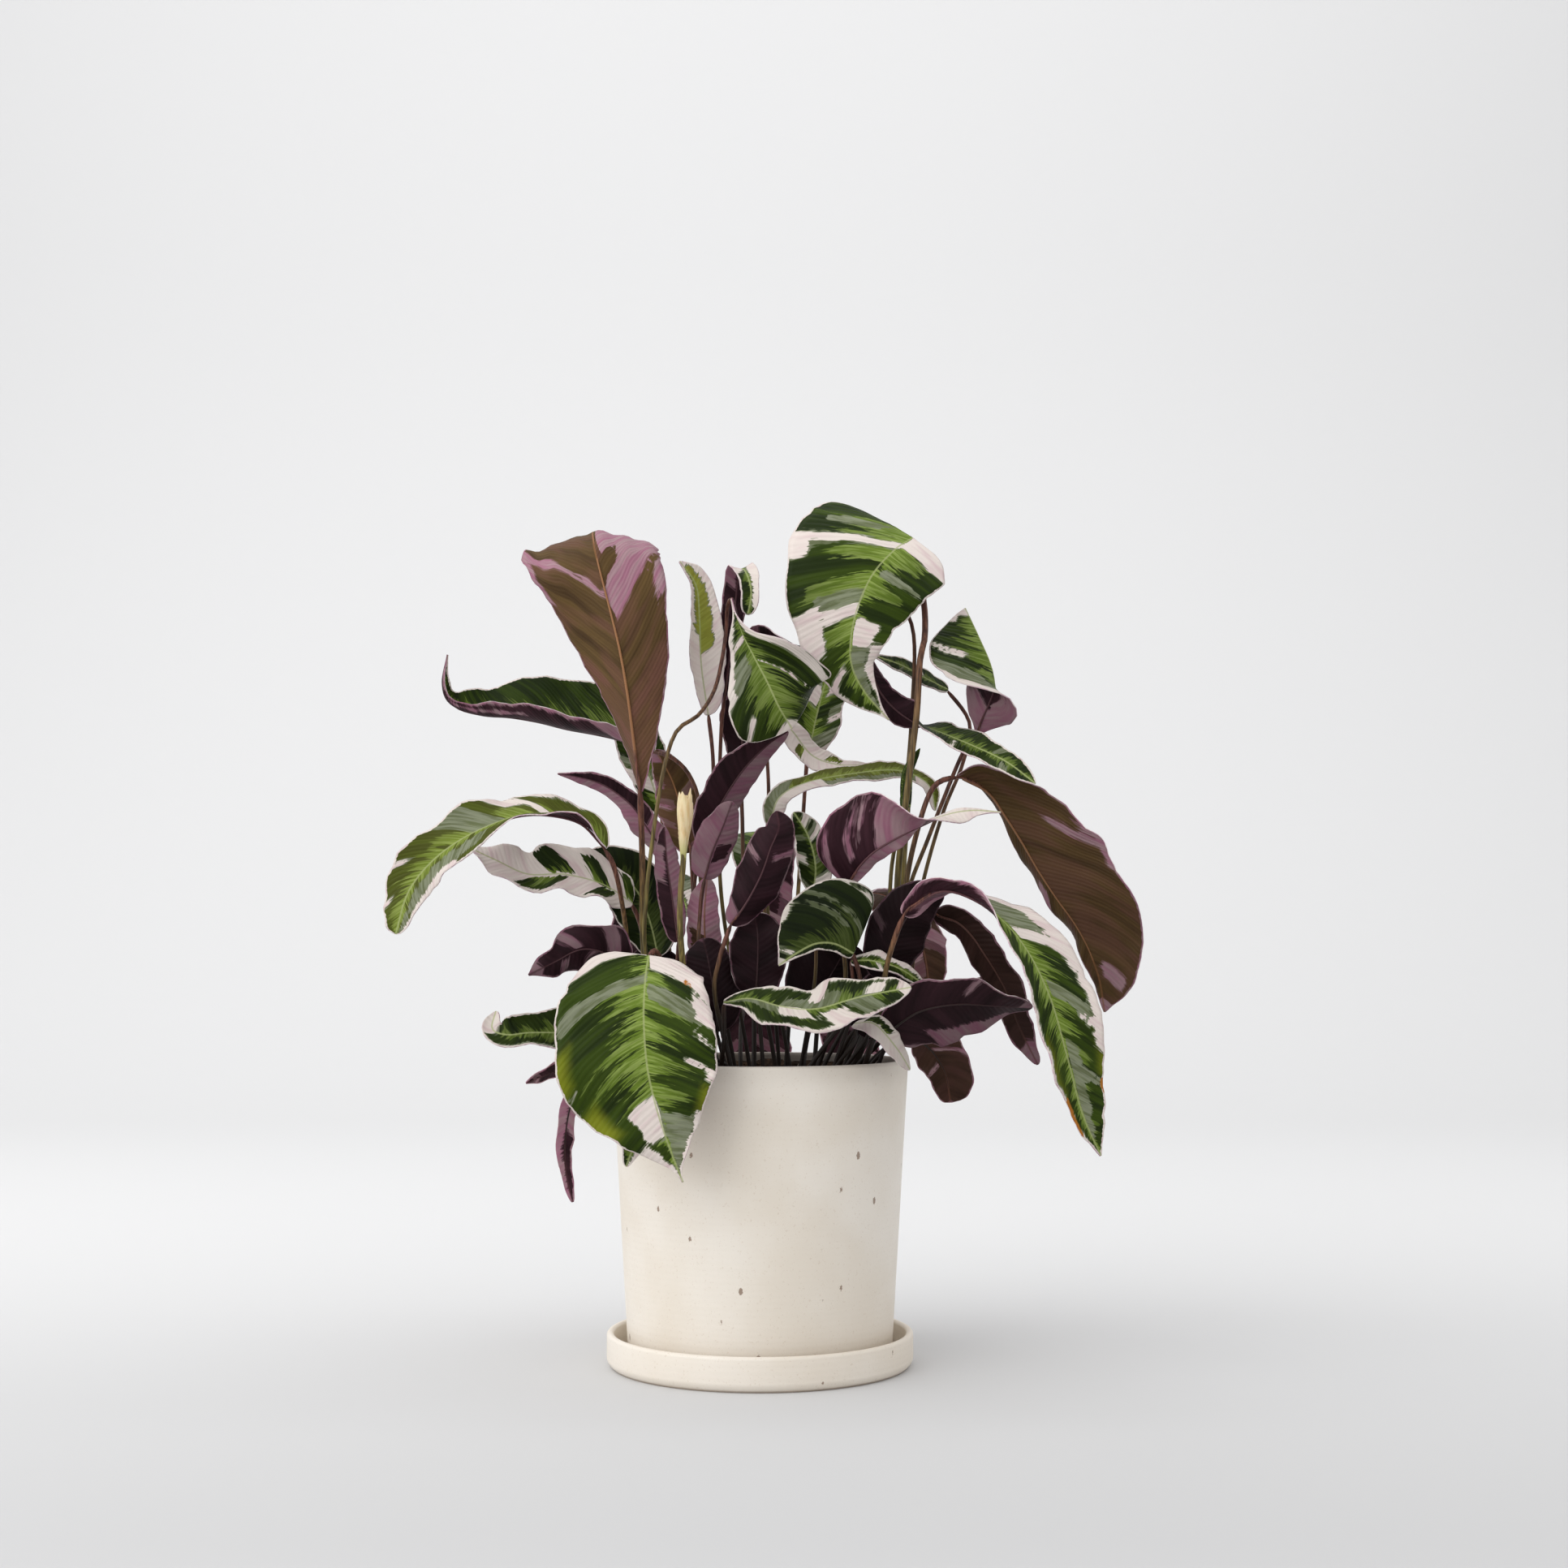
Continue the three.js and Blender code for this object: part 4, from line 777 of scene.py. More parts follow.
def sector_depths(leaf, measures):
    vein, out, half = measures
    side = -1 if out < 0 else 1
    reach = abs(out)
    length = leaf.curve.length
    depth = dict.fromkeys(KINDS, NOWHERE)
    for where, start, end, inner, outer, kind in leaf.marks:
        if where not in (0, side):
            continue
        inside = min(vein - start * length, end * length - vein,
                     reach - inner * half if inner else -NOWHERE,
                     outer * half - reach if outer < 1 else -NOWHERE)
        depth[kind] = max(depth[kind], inside)
    white = min(depth["white"], -depth["green"])
    sage = min(max(depth["sage"], depth["white"] + SAGE_BORDER), -depth["green"])
    light, dark = (min(max(depth[kind] / TONE_DEPTH, 0.0), 1.0) for kind in ("light", "dark"))
    return (white, sage, leaf.painted_shade), (light - dark, depth["yellow"], depth["brown"])


for along in (0.2, 0.5, 0.8):
    _point, measures = blade_point(sample, sample.frame_at(along), along, 1.0)
    white_depth = sector_depths(sample, measures)[0][0]
    print("at", along, "of its length the edge is", round(white_depth, 1), "mm deep in white")

# %% [markdown]
# Stalks, midribs, the bud and the rolled leaf are all tubes along a line. A tube is a grid whose
# side edges meet and are merged and whose ends are closed. The direction it starts from is carried
# along the line without twisting. The measures that the finishes read are stored on each vertex.
# A tube gets those of a plain green blade, with no sector near.

# %% Tubes along a line
UPPER, UNDER, EDGE, STALK = range(4)
SEAM_REACH = 1e-6
TUBE_HALF = 12.0
TUBE_ROUND = 10.0


def pattern_layers(bm):
    names = ("blade", "look", "marks", "tones", "upper_place")
    layers = {name: bm.verts.layers.float_vector.new(name) for name in names}
    layers["height_share"] = bm.verts.layers.float.new("height_share")
    return layers


def untwisted_frames(path, steps):
    """Places along a line with two directions across it."""
    frames = []
    across = path.forward(0.0).orthogonal()
    for step in range(steps + 1):
        share = step / steps
        forward = path.forward(share)
        across = (across - forward * across.dot(forward)).normalized()
        frames.append((path.place(share), across, forward.cross(across)))
    return frames


def roll_tube(bm, layers, path, radius_at, sides, steps, look, share_at, material=STALK,
              painted_shade=0.0):
    """Rolls a grid round a line, with the radius and the share of height that two rules give."""
    earlier = set(bm.faces)
    made = bmesh.ops.create_grid(bm, x_segments=sides, y_segments=steps, size=1.0)["verts"]
    frames = untwisted_frames(path, steps)
    for vert in made:
        share = (vert.co.y + 1) / 2
        place, first, second = frames[round(share * steps)]
        angle = math.pi * vert.co.x
        radius = radius_at(share, (vert.co.x + 1) / 2)
        vert[layers["blade"]] = (share * path.length, TUBE_ROUND * vert.co.x, TUBE_HALF)
        vert[layers["marks"]] = (NOWHERE, NOWHERE, painted_shade)
        vert[layers["tones"]] = (0.0, NOWHERE, NOWHERE)
        vert[layers["look"]] = look
        vert[layers["height_share"]] = share_at(share)
        vert.co = (place + (first * math.cos(angle) + second * math.sin(angle)) * radius) * MM
    bmesh.ops.remove_doubles(bm, verts=made, dist=SEAM_REACH)
    bmesh.ops.holes_fill(bm, edges=[e for e in bm.edges if e.is_boundary], sides=0)
    faces = [face for face in bm.faces if face not in earlier]
    for face in faces:
        face.material_index = material
    bmesh.ops.recalc_face_normals(bm, faces=faces)


# %% [markdown]
# The stalk rises straight out of the soil, follows its own points and ends under the first tenth
# of the blade. It is a little thicker at the knee, just before the blade, and slimmer under it. The
# midrib goes on from there as a slimmer tube, close under the middle of the blade, so that it only
# stands out below.

# %% Routes of the stalk and the midrib
SOIL_TOP = 152.0
STALK_DEPTH = 16.0
STALK_UPRIGHT = 4.0
STALK_SINK = 0.75
STALK_END = 0.1
STALK_TAPER = 0.12
KNEE_LENGTH = 9.0
KNEE_SWELL = 0.10
GIRTH_BELOW = 0.5
SLIMMING_LENGTH = 5.0
RIB_FROM = 0.02
RIB_REACH = 0.9
RIB_SPANS = 8
RIB_GIRTH = (0.5, 0.1)


def stalk_route(leaf):
    x, y = leaf.root
    points = [(x, y, SOIL_TOP - STALK_DEPTH), (x, y, SOIL_TOP + STALK_UPRIGHT), *leaf.stem]
    for along in (0.0, STALK_END / 2, STALK_END):
        place, up, _right = leaf.frame_at(along)
        points.append(place - up * leaf.radius * STALK_SINK)
    return Curve(points)


def stalk_radius(leaf, length):
    def radius_at(share, _turn):
        before_blade = (1 - share) * length - STALK_END * leaf.curve.length
        knee = max(0.0, 1 - abs(before_blade - KNEE_LENGTH) / KNEE_LENGTH)
        girth = 1.0 - STALK_TAPER * share + KNEE_SWELL * knee
        slim_below = min(1.0, GIRTH_BELOW + max(before_blade, 0.0) / SLIMMING_LENGTH)
        return leaf.radius * girth * slim_below
    return radius_at


def rib_radius(leaf, share):
    return leaf.radius * (RIB_GIRTH[0] + (RIB_GIRTH[1] - RIB_GIRTH[0]) * share)


def rib_route(leaf):
    points = []
    for step in range(RIB_SPANS + 1):
        along = RIB_FROM + (RIB_REACH - RIB_FROM) * step / RIB_SPANS
        place, up, _right = leaf.frame_at(along)
        points.append(place - up * rib_radius(leaf, step / RIB_SPANS))
    return Curve(points)


print("the sample's stalk is", round(stalk_route(sample).length), "mm long")

# %% [markdown]
# One leaf is one mesh of three parts: the blade, the stalk and the midrib. The blade is the carried
# grid, given its thickness by the solidify operator, so the upper face, the underside and the edge
# can each take their own finish. In a sharp fold the operator throws the underside out like a
# thorn, so its depth is limited. The rows come closer together at the base and at the tip, where
# the outline turns most. The stored share of height runs from 0 at the foot of the stalk to 0.9 at
# its end, and over the midrib on to 1.

# %% Building a leaf
BLADE_THICKNESS = 0.6
DEEPEST_OFFSET = 0.9
ROW_EASING = 0.65
STALK_SIDES = 12
STALK_STEPS = 56
STALK_SHARE = 0.9
STALK_SHADING = 0.5
RIB_SIDES = 8
RIB_STEPS = 40
RIB_SHARE = 0.1


def eased(share):
    return (1 - ROW_EASING) * share + ROW_EASING * (0.5 - 0.5 * math.cos(math.pi * share))


def carry_blade(bm, layers, leaf, columns, rows):
    """A flat grid carried onto the leaf's line, with its measures stored."""
    verts = bmesh.ops.create_grid(bm, x_segments=columns, y_segments=rows, size=1.0)["verts"]
    frames = {}
    for vert in verts:
        row = round((vert.co.y + 1) / 2 * rows)
        along = eased(row / rows)
        if row not in frames:
            frames[row] = leaf.frame_at(along)
        point, measures = blade_point(leaf, frames[row], along, vert.co.x)
        vert[layers["blade"]] = measures
        vert[layers["look"]] = leaf.look
        vert[layers["height_share"]] = 1.0
        vert[layers["marks"]], vert[layers["tones"]] = sector_depths(leaf, measures)
        vert.co = point * MM
    bm.normal_update()


def thicken_blade(bm, layers):
    """Half of the thickness goes above the carried surface and half below it."""
    upper = list(bm.faces)
    for vert in bm.verts:
        vert.co += vert.normal * (BLADE_THICKNESS / 2 * MM)
        vert[layers["upper_place"]] = vert.co
    made = bmesh.ops.solidify(bm, geom=upper, thickness=BLADE_THICKNESS * MM)["geom"]
    for vert in bm.verts:
        depth = vert.co - vert[layers["upper_place"]]
        if depth.length > DEEPEST_OFFSET * MM:
            vert.co = vert[layers["upper_place"]] + depth.normalized() * DEEPEST_OFFSET * MM
    for face in bm.faces:
        face.material_index = EDGE
    for face in [f for f in made if isinstance(f, bmesh.types.BMFace)]:
        face.material_index = UNDER
    for face in upper:
        face.material_index = UPPER


def leaf_mesh(leaf, columns, rows):
    bm = bmesh.new()
    layers = pattern_layers(bm)
    carry_blade(bm, layers, leaf, columns, rows)
    thicken_blade(bm, layers)
    route = stalk_route(leaf)
    roll_tube(bm, layers, route, stalk_radius(leaf, route.length), STALK_SIDES, STALK_STEPS,
              leaf.look, lambda share: share * STALK_SHARE, painted_shade=leaf.painted_shade * STALK_SHADING)
    roll_tube(bm, layers, rib_route(leaf), lambda share, _turn: rib_radius(leaf, share), RIB_SIDES,
              RIB_STEPS, leaf.look, lambda share: STALK_SHARE + RIB_SHARE * share, painted_shade=leaf.painted_shade)
    return bake_mesh(leaf.name + "_fine", bm)

# %% [markdown]
# The leaves are listed from the tall ones on the left to the low ones in front, then those at the
# back and inside. Each row repeats the imported solid's line and widths in millimetres. The look is
# a seed, how much of the leaf is white and its age: 1 for an old leaf with a brown underside, below
# 0 for a young, yellower one. The painted shade darkens a leaf that lies inside the plant, where
# the other leaves shadow it. The lean says how the side veins run outwards, for both halves or for
# each, and the crest how ragged a blade is where it turns over. The marks are the sectors that can
# be seen
# on the leaves in front: the side of the midrib, where the sector starts and ends along it, from
# where to where it runs outwards, and its kind. Besides white, sage and green there are lighter and
# darker zones of the green, yellow edges and a few withered brown spots.

# %% The leaves
LEAVES = [
    Leaf("leaf_upright_left", root=(-52, -12), radius=1.8, fine=True,
         stem=((-62, -16, 217), (-63, -22, 269)),
         rib=((-64, -26, 305), (-73, -25, 369), (-83, -20, 411), (-90, -14, 437), (-93, 4, 451),
               (-93, 22, 449), (-92, 38, 428), (-91, 46, 410)),
         face=((0.1, 1, 0), (0.05, 1, 0.05), (0.05, 1, 0), (0, 0.7, -0.7), (0, -0.3, -1)),
         left=(36, 10, 10, 14), right=(41, 60, -5, 14),
         wave=(1.5, 3, 0.1), shape=(0.95, 0.45, 1),
         look=(0, 0.35, 1), crest=5, lean=(1.1, 0.006),
         marks=((1, 0.478, 0.5, 0, 1, "white"), (1, 0.478, 0.52, 0.6, 1, "white"),
                (1, 0.3, 0.5, 0.93, 1, "white"), (-1, 0.41, 0.75, 0, 1, "white"),
                (-1, 0.515, 0.575, 0, 0.32, "green"), (-1, 0.29, 0.37, 0.82, 1, "white"),
                (0, -1, 0.22, 0, 1, "light"))),
    Leaf("leaf_left_high", root=(-16, 34), radius=1.3, fine=True,
         stem=((-33, 30, 253), (-34, 26, 298), (-40, 26, 318), (-51, 28, 329)),
         rib=((-60, 32, 332), (-83, 36, 340), (-109, 38, 345), (-135, 38, 351), (-159, 36, 353),
               (-175, 32, 359), (-179, 28, 370), (-176, 26, 386)),
         face=((0, -0.8, 0.6), (0, -0.85, 0.5), (0, -0.8, 0.6), (0.6, -0.7, 0.3)),
         left=(18, 40, 75, 60), right=(32, 6, 6, 8),
         wave=(1.2, 4, 0.3), shape=(0.7, 1.5, 1),
         look=(0.62, 0.2, 0), painted_shade=0.2, lean=(0.9, 0.01),
         marks=((-1, -1, 2, 0.93, 1, "white"), (-1, -1, 0.12, 0, 1, "white"),
                (-1, 0.45, 0.8, 0.45, 0.55, "white"), (0, 0.96, 1.3, 0, 1, "white"))),
    Leaf("leaf_left_arch", root=(-62, -6), radius=1.4, fine=True,
         stem=((-68, -10, 199), (-73, -26, 243), (-77, -34, 264)),
         rib=((-81, -38, 274), (-93, -40, 287), (-118, -46, 292), (-142, -52, 285),
               (-165, -56, 271), (-181, -58, 252), (-188, -58, 229)),
         face=((0, -0.4, 0.9), (0, -0.4, 0.9), (-0.1, -0.85, 0.5), (-0.3, -0.9, 0.3)),
         left=(12, 48, -8, -10), right=(16, 22, 6, 10),
         wave=(1.8, 4, 0.2), shape=(0.5, 0.5, 1.3),
         look=(0.24, 0.5, -0.25), lean=(1, 0.01),
         marks=((1, 0.235, 0.27, 0, 1, "white"), (1, 0.25, 0.33, 0.55, 1, "white"),
                (1, 0.05, 0.2, 0.9, 1, "white"), (1, 0.4, 0.53, 0, 1, "sage"),
                (1, 0.68, 0.705, 0.6, 1, "white"), (1, 0.83, 0.85, 0.7, 1, "white"),
                (1, 0.3, 0.4, 0, 0.6, "light"), (1, 0.56, 0.66, 0.1, 0.6, "light"),
                (-1, 0.55, 0.95, 0.75, 1, "white"), (-1, 0.45, 1, 0.3, 0.75, "sage"))),
    Leaf("leaf_left_pale", root=(-56, 6), radius=1.3,
         stem=((-63, 2, 199), (-64, -6, 230)),
         rib=((-69, -10, 246), (-85, -18, 256), (-105, -22, 261), (-124, -24, 261),
               (-140, -26, 268), (-155, -26, 275)),
         face=((0.1, -0.75, 0.6), (0, -0.8, 0.6), (0, -0.7, 0.7)),
         left=(13, 5, 5, 10), right=(16, 10, 10, 20),
         wave=(2.2, 4, 0), shape=(0.5, 0.75, 1),
         look=(0.85, 0.8, 0), painted_shade=0.25, lean=(0.8, 0.01),
         marks=((0, -2, 2, 0, 1, "white"), (1, -0.06, 0.05, 0.1, 0.92, "green"),
                (1, 0.16, 0.26, 0, 0.8, "green"), (1, 0.36, 0.5, 0.05, 0.9, "green"),
                (-1, 0.1, 0.2, 0.1, 0.9, "green"), (-1, 0.4, 0.62, 0.1, 0.85, "green"))),
    Leaf("leaf_left_dark", root=(-42, 6), radius=1.3,
         stem=((-51, 6, 195),),
         rib=((-56, 10, 217), (-61, 12, 237), (-68, 12, 253), (-81, 10, 265), (-100, 8, 271)),
         face=((-0.2, -0.9, 0.3), (-0.2, -0.9, 0.3), (-0.2, -0.9, 0.3)),
         left=(17, 6, 6, 10), right=(17, 6, 6, 10),
         wave=(1.2, 3, 0.2), shape=(0.5, 0.8, 1.5),
         look=(0.47, 0.1, 0), painted_shade=0.85,
         marks=((-1, 0.45, 0.62, 0.5, 1, "sage"), (0, 0.93, 1.3, 0, 1, "white"))),
    Leaf("leaf_left_mid", root=(-38, 20), radius=1.2,
         stem=((-45, 27, 207), (-45, 24, 248)),
         rib=((-47, 18, 269), (-60, 14, 284), (-71, 10, 300), (-86, 6, 311), (-99, 2, 315),
               (-111, 0, 317)),
         face=((0.1, 0.9, 0.5), (0, 0.8, 0.6), (0, 0.7, 0.7)),
         left=(7, 5, 5, 15), right=(8, 5, 5, 15),
         wave=(1, 3, 0.5), shape=(0.5, 0.8, 1),
         look=(0.09, 0.35, 0), painted_shade=0.2,
         marks=((1, -1, 2, 0, 1, "white"), (-1, 0.15, 0.3, 0, 1, "white"))),
    Leaf("leaf_top_right", root=(40, -6), radius=1.9, fine=True,
         stem=((69, -8, 208), (75, -10, 269), (81, -10, 318), (85, -9, 349), (87, -6, 378),
               (90, -2, 392), (90, 3, 411), (86, 6, 432)),
         rib=((84, 4, 448), (73, -6, 439), (60, -12, 423), (51, -14, 400), (49, -12, 378),
               (56, -8, 362), (70, -4, 346)),
         face=((0.1, -0.8, 0.6), (0, -1, 0.2), (0, -1, 0), (0, -1, -0.1)),
         left=(33, 4, 4, -12), right=(53, 4, 4, -22),
         wave=(2.2, 3, 0.15), shape=(0.3, 1.35, 1),
         look=(0.71, 0.42, 0), lean=(0.65, -0.003, 0.05, 0),
         marks=((1, -0.03, 0.015, 0.3, 0.8, "sage"), (1, 0.085, 0.125, 0, 1, "white"),
                (1, 0.125, 0.14, 0, 0.9, "sage"), (1, 0.09, 0.17, 0.78, 1, "white"),
                (1, 0.36, 0.44, 0, 0.6, "sage"), (1, 0.43, 0.49, 0, 0.5, "white"),
                (1, 0.4, 0.6, 0.5, 1, "white"), (1, 0.69, 0.71, 0.2, 1, "white"),
                (1, 0.7, 1.2, 0.85, 1, "white"), (0, 0.95, 1.3, 0, 1, "white"),
                (1, 0.21, 0.27, 0, 1, "dark"), (1, 0.27, 0.37, 0, 0.75, "light"),
                (1, 0.14, 0.2, 0, 0.5, "light"), (1, 0.5, 0.62, 0, 0.6, "light"),
                (-1, -1, 0.1, 0, 1, "white"), (-1, 0.1, 0.2, 0, 0.7, "light"),
                (-1, 0.24, 0.28, 0.1, 0.9, "sage"), (-1, 0.28, 0.38, 0, 0.75, "light"),
                (-1, 0.38, 0.55, 0.3, 1, "dark"), (-1, 0.5, 0.62, 0, 0.6, "white"),
                (-1, 0.62, 0.93, 0, 0.6, "sage"), (-1, 0.6, 1.2, 0.6, 1, "white"))),
    Leaf("leaf_centre_face", root=(-48, -32), radius=1.2, fine=True,
         stem=((-60, -34, 217), (-60, -36, 247), (-57, -36, 277), (-54, -34, 300),
               (-50, -32, 322), (-44, -30, 338), (-33, -22, 347), (-25, -9, 362), (-21, 0, 381),
               (-19, 2, 397), (-18, -3, 410)),
         rib=((-15, -16, 411), (-10, -27, 392), (-3, -31, 377), (4, -33, 363), (10, -33, 350),
               (17, -27, 339)),
         face=((-0.2, -1, 0.1), (0, -1, 0.1), (0, -1, 0.1), (0.1, -1, 0), (0, -1, -0.3)),
         left=(33, 130, -45, -8), right=(26, 0, 4, -10),
         wave=(1.6, 3, 0.4), shape=(2.1, 0.5, 1),
         look=(0.33, 0.35, 0), painted_shade=0.3, lean=(0.5, 0.012, 0.7, 0.03),
         marks=((-1, 0.485, 0.5, 0.05, 1, "white"), (-1, 0.66, 0.675, 0.5, 1, "white"),
                (-1, 0.15, 0.27, 0.5, 1, "white"), (1, 0.4, 0.52, 0.25, 1, "sage"),
                (1, -0.1, 0.5, 0.8, 1, "white"), (1, 0.31, 0.335, 0.1, 1, "white"),
                (1, 0.4, 0.7, 0, 0.4, "light"), (1, 0.7, 0.72, 0.55, 1, "white"),
                (0, 0.93, 1.2, 0, 1, "white"))),
    Leaf("leaf_small_curled", root=(-6, 18), radius=1.2,
         stem=((-21, 18, 243), (-23, 16, 297), (-22, 14, 342)),
         rib=((-20, 12, 359), (-17, 12, 387), (-14, 10, 414), (-12, 2, 429), (-8, -10, 426),
               (-5, -16, 414), (-7, -16, 402)),
         face=((0, 1, 0), (0, 0.9, 0.3), (0, -0.4, 0.9), (0.1, -1, 0)),
         left=(6, 10, 10, 20), right=(7, 10, 10, 20),
         wave=(0.8, 3, 0.2), shape=(0.7, 0.4, 1),
         look=(0.94, 0.4, 0), painted_shade=0.3,
         marks=((1, 0.55, 0.75, 0.1, 1, "white"), (-1, 0.6, 0.95, 0.3, 1, "white"))),
    Leaf("leaf_pale_upright", root=(-14, 10), radius=1.2,
         stem=((-31, 6, 252), (-26, 4, 314)),
         rib=((-29, 9, 350), (-33, 10, 378), (-34, 10, 403), (-36, 8, 422), (-45, 4, 435)),
         face=((-0.1, -1, 0.1), (-0.1, -1, 0.1), (0.1, -1, 0.2)),
         left=(5, 20, 20, 30), right=(14, 10, 10, 10),
         wave=(0.8, 3, 0.6), shape=(0.55, 0.75, 1),
         look=(0.56, 0.6, -1),
         marks=((-1, -1, 0.5, 0, 1, "white"), (-1, 0.5, 1, 0.6, 1, "white"),
                (1, -1, 0.38, 0, 1, "white"), (1, 0.38, 1, 0.6, 1, "white"),
                (0, 0.95, 1.3, 0, 1, "white"))),
    Leaf("leaf_back_dark_edge", root=(8, 40), radius=1.3,
         stem=((-8, 44, 244), (-11, 46, 299)),
         rib=((-12, 50, 325), (-10, 54, 353), (-4, 52, 376), (5, 44, 393), (16, 30, 393),
               (24, 22, 386)),
         face=((-0.2, 0.9, 0.2), (-0.2, 0.9, 0.3), (0, 0.5, 0.8), (0.3, -0.1, 0.9)),
         left=(15, 6, 6, 12), right=(15, 6, 6, 12),
         wave=(1.5, 3, 0), shape=(0.6, 0.5, 1),
         look=(0.18, 0.2, 0), painted_shade=0.55,
         marks=((-1, 0.5, 0.56, 0, 1, "white"), (1, 0.62, 0.66, 0.2, 1, "white"))),
    Leaf("leaf_diagonal_dark", root=(-18, -8), radius=1.2,
         stem=((-35, -6, 217), (-36, 0, 256)),
         rib=((-32, 2, 278), (-23, -2, 298), (-10, -6, 318), (4, -10, 332), (15, -12, 339)),
         face=((-0.4, 0.85, 0.3), (-0.4, 0.85, 0.3), (-0.4, 0.8, 0.4)),
         left=(12, 8, 8, 10), right=(12, 8, 8, 10),
         wave=(0.8, 2, 0.2), shape=(0.5, 0.7, 1),
         look=(0.8, 0.45, 0), painted_shade=0.5,
         marks=((-1, -1, 2, 0, 1, "white"),)),
    Leaf("leaf_mauve_mid", root=(-22, -26), radius=1.2,
         stem=((-32, -22, 212), (-32, -18, 243)),
         rib=((-30, -16, 259), (-26, -16, 273), (-20, -18, 287), (-15, -22, 300)),
         face=((-0.2, 0.9, 0.1), (-0.2, 0.9, 0.2)),
         left=(11, 10, 10, 10), right=(11, 10, 10, 10),
         wave=(1, 2, 0.1), shape=(0.5, 0.6, 1),
         look=(0.42, 0.75, 0), painted_shade=0.45,
         marks=((0, -1, 2, 0, 1, "white"), (-1, 0.2, 0.4, 0.1, 0.8, "green"))),
    Leaf("leaf_thin_arch", root=(16, 30), radius=1.2,
         stem=((3, 34, 230), (3, 36, 271)),
         rib=((5, 36, 290), (10, 38, 306), (26, 40, 315), (51, 42, 320), (77, 42, 322),
               (94, 40, 314), (98, 38, 299)),
         face=((0.2, -0.6, 0.8), (0, -0.6, 0.8), (0, -0.7, 0.7), (0.3, -0.8, 0.4)),
         left=(8, 0, 0, 0), right=(7, 0, 0, 0),
         wave=(0.8, 4, 0.2), shape=(0.45, 0.6, 1),
         look=(0.03, 0.3, -0.4), painted_shade=0.12,
         marks=((1, -1, 0.35, 0, 1, "white"), (1, 0.35, 0.8, 0.45, 1, "sage"),
                (-1, -0.2, 0.2, 0, 1, "sage"), (1, 0.8, 1.2, 0, 1, "white"))),
    Leaf("leaf_back_pale", root=(10, 52), radius=1.2,
         stem=((3, 54, 253), (4, 54, 309), (3, 58, 337)),
         rib=((6, 62, 350), (16, 64, 348), (29, 60, 332), (45, 54, 326), (60, 50, 326)),
         face=((0, -0.8, 0.6), (0, -0.8, 0.5), (0, -0.8, 0.6)),
         left=(6, 5, 5, 10), right=(8, 5, 5, 10),
         wave=(1.2, 3, 0), shape=(0.5, 0.7, 1),
         look=(0.65, 0.8, -0.3),
         marks=((0, -1, 2, 0, 1, "white"), (1, 0.3, 0.4, 0.1, 0.9, "green"),
                (-1, 0.6, 0.75, 0.1, 0.9, "green"))),
    Leaf("leaf_right_small_face", root=(46, 28), radius=1.3,
         stem=((75, 28, 216), (82, 28, 253), (93, 28, 282), (102, 26, 305), (112, 24, 329)),
         rib=((120, 18, 340), (124, 12, 351), (129, 8, 363), (127, 6, 377), (121, 10, 393),
               (114, 18, 411)),
         face=((0.2, 1, -0.1), (1, 0.3, 0.2), (0.2, -1, 0.1), (0.1, -1, 0), (0, -1, -0.1)),
         left=(31, 35, 0, 0), right=(26, 10, -150, 0),
         wave=(1.2, 3, 0.4), shape=(1.1, 0.7, 1),
         look=(0.27, 0.45, 0), painted_shade=0.25,
         marks=((0, -1, 0.2, 0, 1, "white"), (-1, 0.2, 0.235, 0, 1, "white"),
                (-1, 0.25, 0.38, 0.35, 1, "sage"), (-1, 0.4, 0.48, 0, 0.7, "light"),
                (-1, 0.5, 0.56, 0.35, 1, "white"), (-1, 0.85, 0.95, 0.6, 1, "white"),
                (0, 0.93, 1.3, 0, 1, "white"))),
    Leaf("leaf_twisted_right", root=(34, 12), radius=1.2,
         stem=((66, 20, 217), (73, 22, 270), (80, 22, 307), (84, 20, 352), (85, 18, 397),
               (75, 16, 414), (62, 14, 401)),
         rib=((60, 15, 382), (64, 14, 367), (75, 12, 353), (87, 8, 345), (103, -4, 337),
               (117, -20, 329), (131, -36, 320), (145, -45, 308)),
         face=((-0.3, 0.9, 0.3), (-0.2, 0.8, 0.5), (0, -0.5, 0.8), (0, -0.8, 0.5),
               (0, -0.8, 0.5)),
         left=(9, 20, 10, 0), right=(10, 20, 10, 0),
         wave=(1.2, 4, 0.2), shape=(0.45, 0.5, 1),
         look=(0.89, 0.3, 0), painted_shade=0.4,
         marks=((1, 0.55, 0.57, 0.3, 1, "white"), (-1, 0.75, 0.79, 0.2, 1, "sage"),
                (1, 0.82, 0.86, 0.2, 1, "sage"))),
    Leaf("leaf_narrow_right", root=(50, 32), radius=1.2,
         stem=((82, 40, 216), (92, 42, 262), (103, 42, 299), (114, 42, 326), (118, 42, 349)),
         rib=((106, 42, 368), (93, 38, 374), (79, 34, 381), (64, 32, 386)),
         face=((0, -0.7, 0.7), (0, -0.8, 0.6), (0, -0.8, 0.6)),
         left=(5, 0, 0, 0), right=(6, 0, 0, 0),
         wave=(0.8, 3, 0.2), shape=(0.5, 0.7, 1),
         look=(0.51, 0.45, 0), painted_shade=0.45,
         marks=((1, 0.35, 0.39, 0.2, 1, "white"), (-1, 0.6, 0.64, 0.2, 1, "sage"),
                (0, 0.95, 1.2, 0, 1, "white"))),
    Leaf("leaf_right_arch", root=(54, -8), radius=1.6, fine=True,
         stem=((76, -10, 208), (78, -14, 252), (85, -14, 286), (94, -10, 309)),
         rib=((107, -8, 315), (121, -10, 309), (137, -17, 285), (153, -24, 256), (170, -29, 230),
               (179, -30, 208), (183, -26, 188)),
